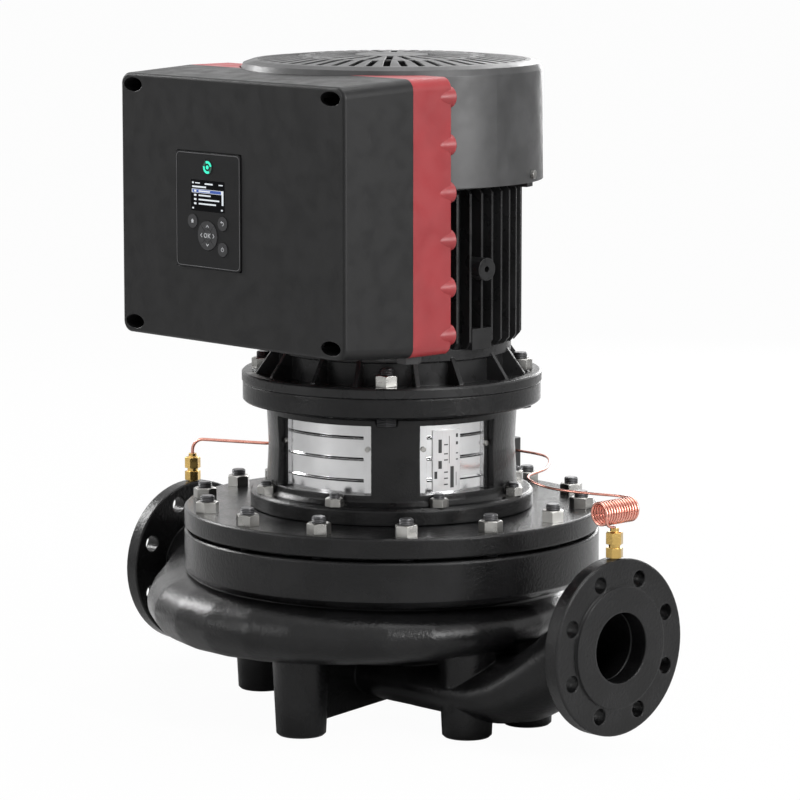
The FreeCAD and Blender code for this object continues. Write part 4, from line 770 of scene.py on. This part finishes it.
def panel_border():
    """Thin pale line round the panel, with round corners."""
    low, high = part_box("panel_frame")
    rings = []
    for share in (0, 1):
        inset = BORDER_INSET + share * BORDER_WIDTH
        corner = BORDER_CORNER - share * BORDER_WIDTH
        rings.append(rounded_outline(low.x + inset, high.x - inset, low.z + inset, high.z - inset, corner))
    outer, inner = rings
    front = low.y
    count = len(outer)
    points = []
    for depth in (0.0, PRINT_THICK):
        for x, z in outer + inner:
            points.append(Vector((x, front - depth, z)))
    faces = []
    for k in range(count):
        after = (k + 1) % count
        for a, b in ((0, 1), (1, 3), (3, 2), (2, 0)):
            faces.append((a * count + k, a * count + after, b * count + after, b * count + k))
    add_piece("panel_border", points, faces, PANEL_LINE)


def rounded_outline(left, right, bottom, top, corner, steps=6):
    """Corners of a rectangle with round corners, going round once."""
    outline = []
    centres = ((right - corner, top - corner), (left + corner, top - corner),
               (left + corner, bottom + corner), (right - corner, bottom + corner))
    for quarter, (x, z) in enumerate(centres):
        for i in range(steps + 1):
            turn = math.radians(90.0 * (quarter + i / steps))
            outline.append((x + corner * math.cos(turn), z + corner * math.sin(turn)))
    return outline


def status_ring():
    """Two lit arcs and two dim ones round a small dot."""
    low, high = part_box("status_light")
    centre = (low + high) / 2
    front = low.y - PRINT_THICK
    radius = (high.x - low.x) / 2
    inner, outer = STATUS_BAND
    for name, first, last, material in STATUS_ARCS:
        outline = arc_band(centre.x, centre.z, radius * inner, radius * outer, first, last)
        front_shape("status_arc_" + name, outline, front, LAMP_THICK, material)
    dot = arc_band(centre.x, centre.z, 0.0, radius * STATUS_DOT, 0, 360, 20)[:20]
    front_shape("status_dot", dot, front, LAMP_THICK, STATUS)


# Signs on the keys, in metres from the middle of each key

MARK_THICK = 0.00015
CHEVRON = 0.0026
CHEVRON_OUTLINE = ((0.5, 0.0), (-0.5, 1.0), (-0.75, 0.75), (0.0, 0.0), (-0.75, -0.75), (-0.5, -1.0))
LETTER_HALF = 0.0027
LETTER_STROKE = 0.0009
RING_GAP = 0.0006
STEM_X = 0.0008
LEG_OUTLINE = ((0.0, 0.0003), (0.0027, 0.0027), (0.0039, 0.0027), (0.0009, -0.0002))
HOME_OUTLINE = ((-0.0018, -0.002), (0.0018, -0.002), (0.0018, 0.0002), (0.0026, 0.0002), (0.0, 0.0026),
                (-0.0026, 0.0002), (-0.0018, 0.0002))
BACK_TIP = ((-0.0012, 0.0003), (-0.001, 0.0033), (-0.0034, 0.0019))
BACK_ARC = (0.0015, 0.0023, -100, 120)
POWER_ARC = (0.0017, 0.0024, 120, 420)
POWER_STEM = (0.0004, 0.0007, 0.0026)


def key_sign(key, name, outline):
    """Raised flat sign on a key, moving with it, from corners round the key's middle."""
    low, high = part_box(key)
    centre = (low + high) / 2
    corners = [(centre.x + x, centre.z + z) for x, z in outline]
    front_shape(name, corners, low.y, MARK_THICK, MARK, nodes[key]["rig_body"])


def key_marks():
    for name, turn in (("up", 90), ("down", 270), ("left", 180), ("right", 0)):
        way = Vector((math.cos(math.radians(turn)), math.sin(math.radians(turn))))
        side = Vector((-way.y, way.x))
        outline = [(way * along + side * across) * CHEVRON for along, across in CHEVRON_OUTLINE]
        key_sign("key_" + name, "mark_" + name, [tuple(point) for point in outline])
    ok_mark()
    key_sign("key_home", "mark_home", HOME_OUTLINE)
    key_sign("key_back", "mark_back", arc_band(0.0, 0.0, *BACK_ARC))
    key_sign("key_back", "mark_back_tip", BACK_TIP)
    key_sign("key_power", "mark_power", arc_band(0.0, 0.0, *POWER_ARC, 26))
    bottom, width, height = POWER_STEM
    key_sign("key_power", "mark_power_stem", bar(-width / 2, bottom, width, height))


def ok_mark():
    """The two letters OK, as a ring, a stem and two legs."""
    half = LETTER_HALF
    stroke = LETTER_STROKE
    ring = arc_band(-half - RING_GAP, 0.0, half - stroke, half, 0, 359.9, 24)
    key_sign("key_ok", "mark_round_letter", ring)
    key_sign("key_ok", "mark_stem", bar(STEM_X, -half, stroke, 2 * half))
    start = STEM_X + stroke
    for name, sign in (("rise", 1), ("fall", -1)):
        leg = [(start + x, sign * z) for x, z in LEG_OUTLINE]
        key_sign("key_ok", "mark_" + name, leg if sign < 0 else leg[::-1])


camera()
look()
world()
lights()
floor()
paint_nodes()
smooth_cast("pump_casing", SMOOTH_ANGLE)
suction_line()
rating_plate()
screen()
panel_border()
status_ring()
key_marks()
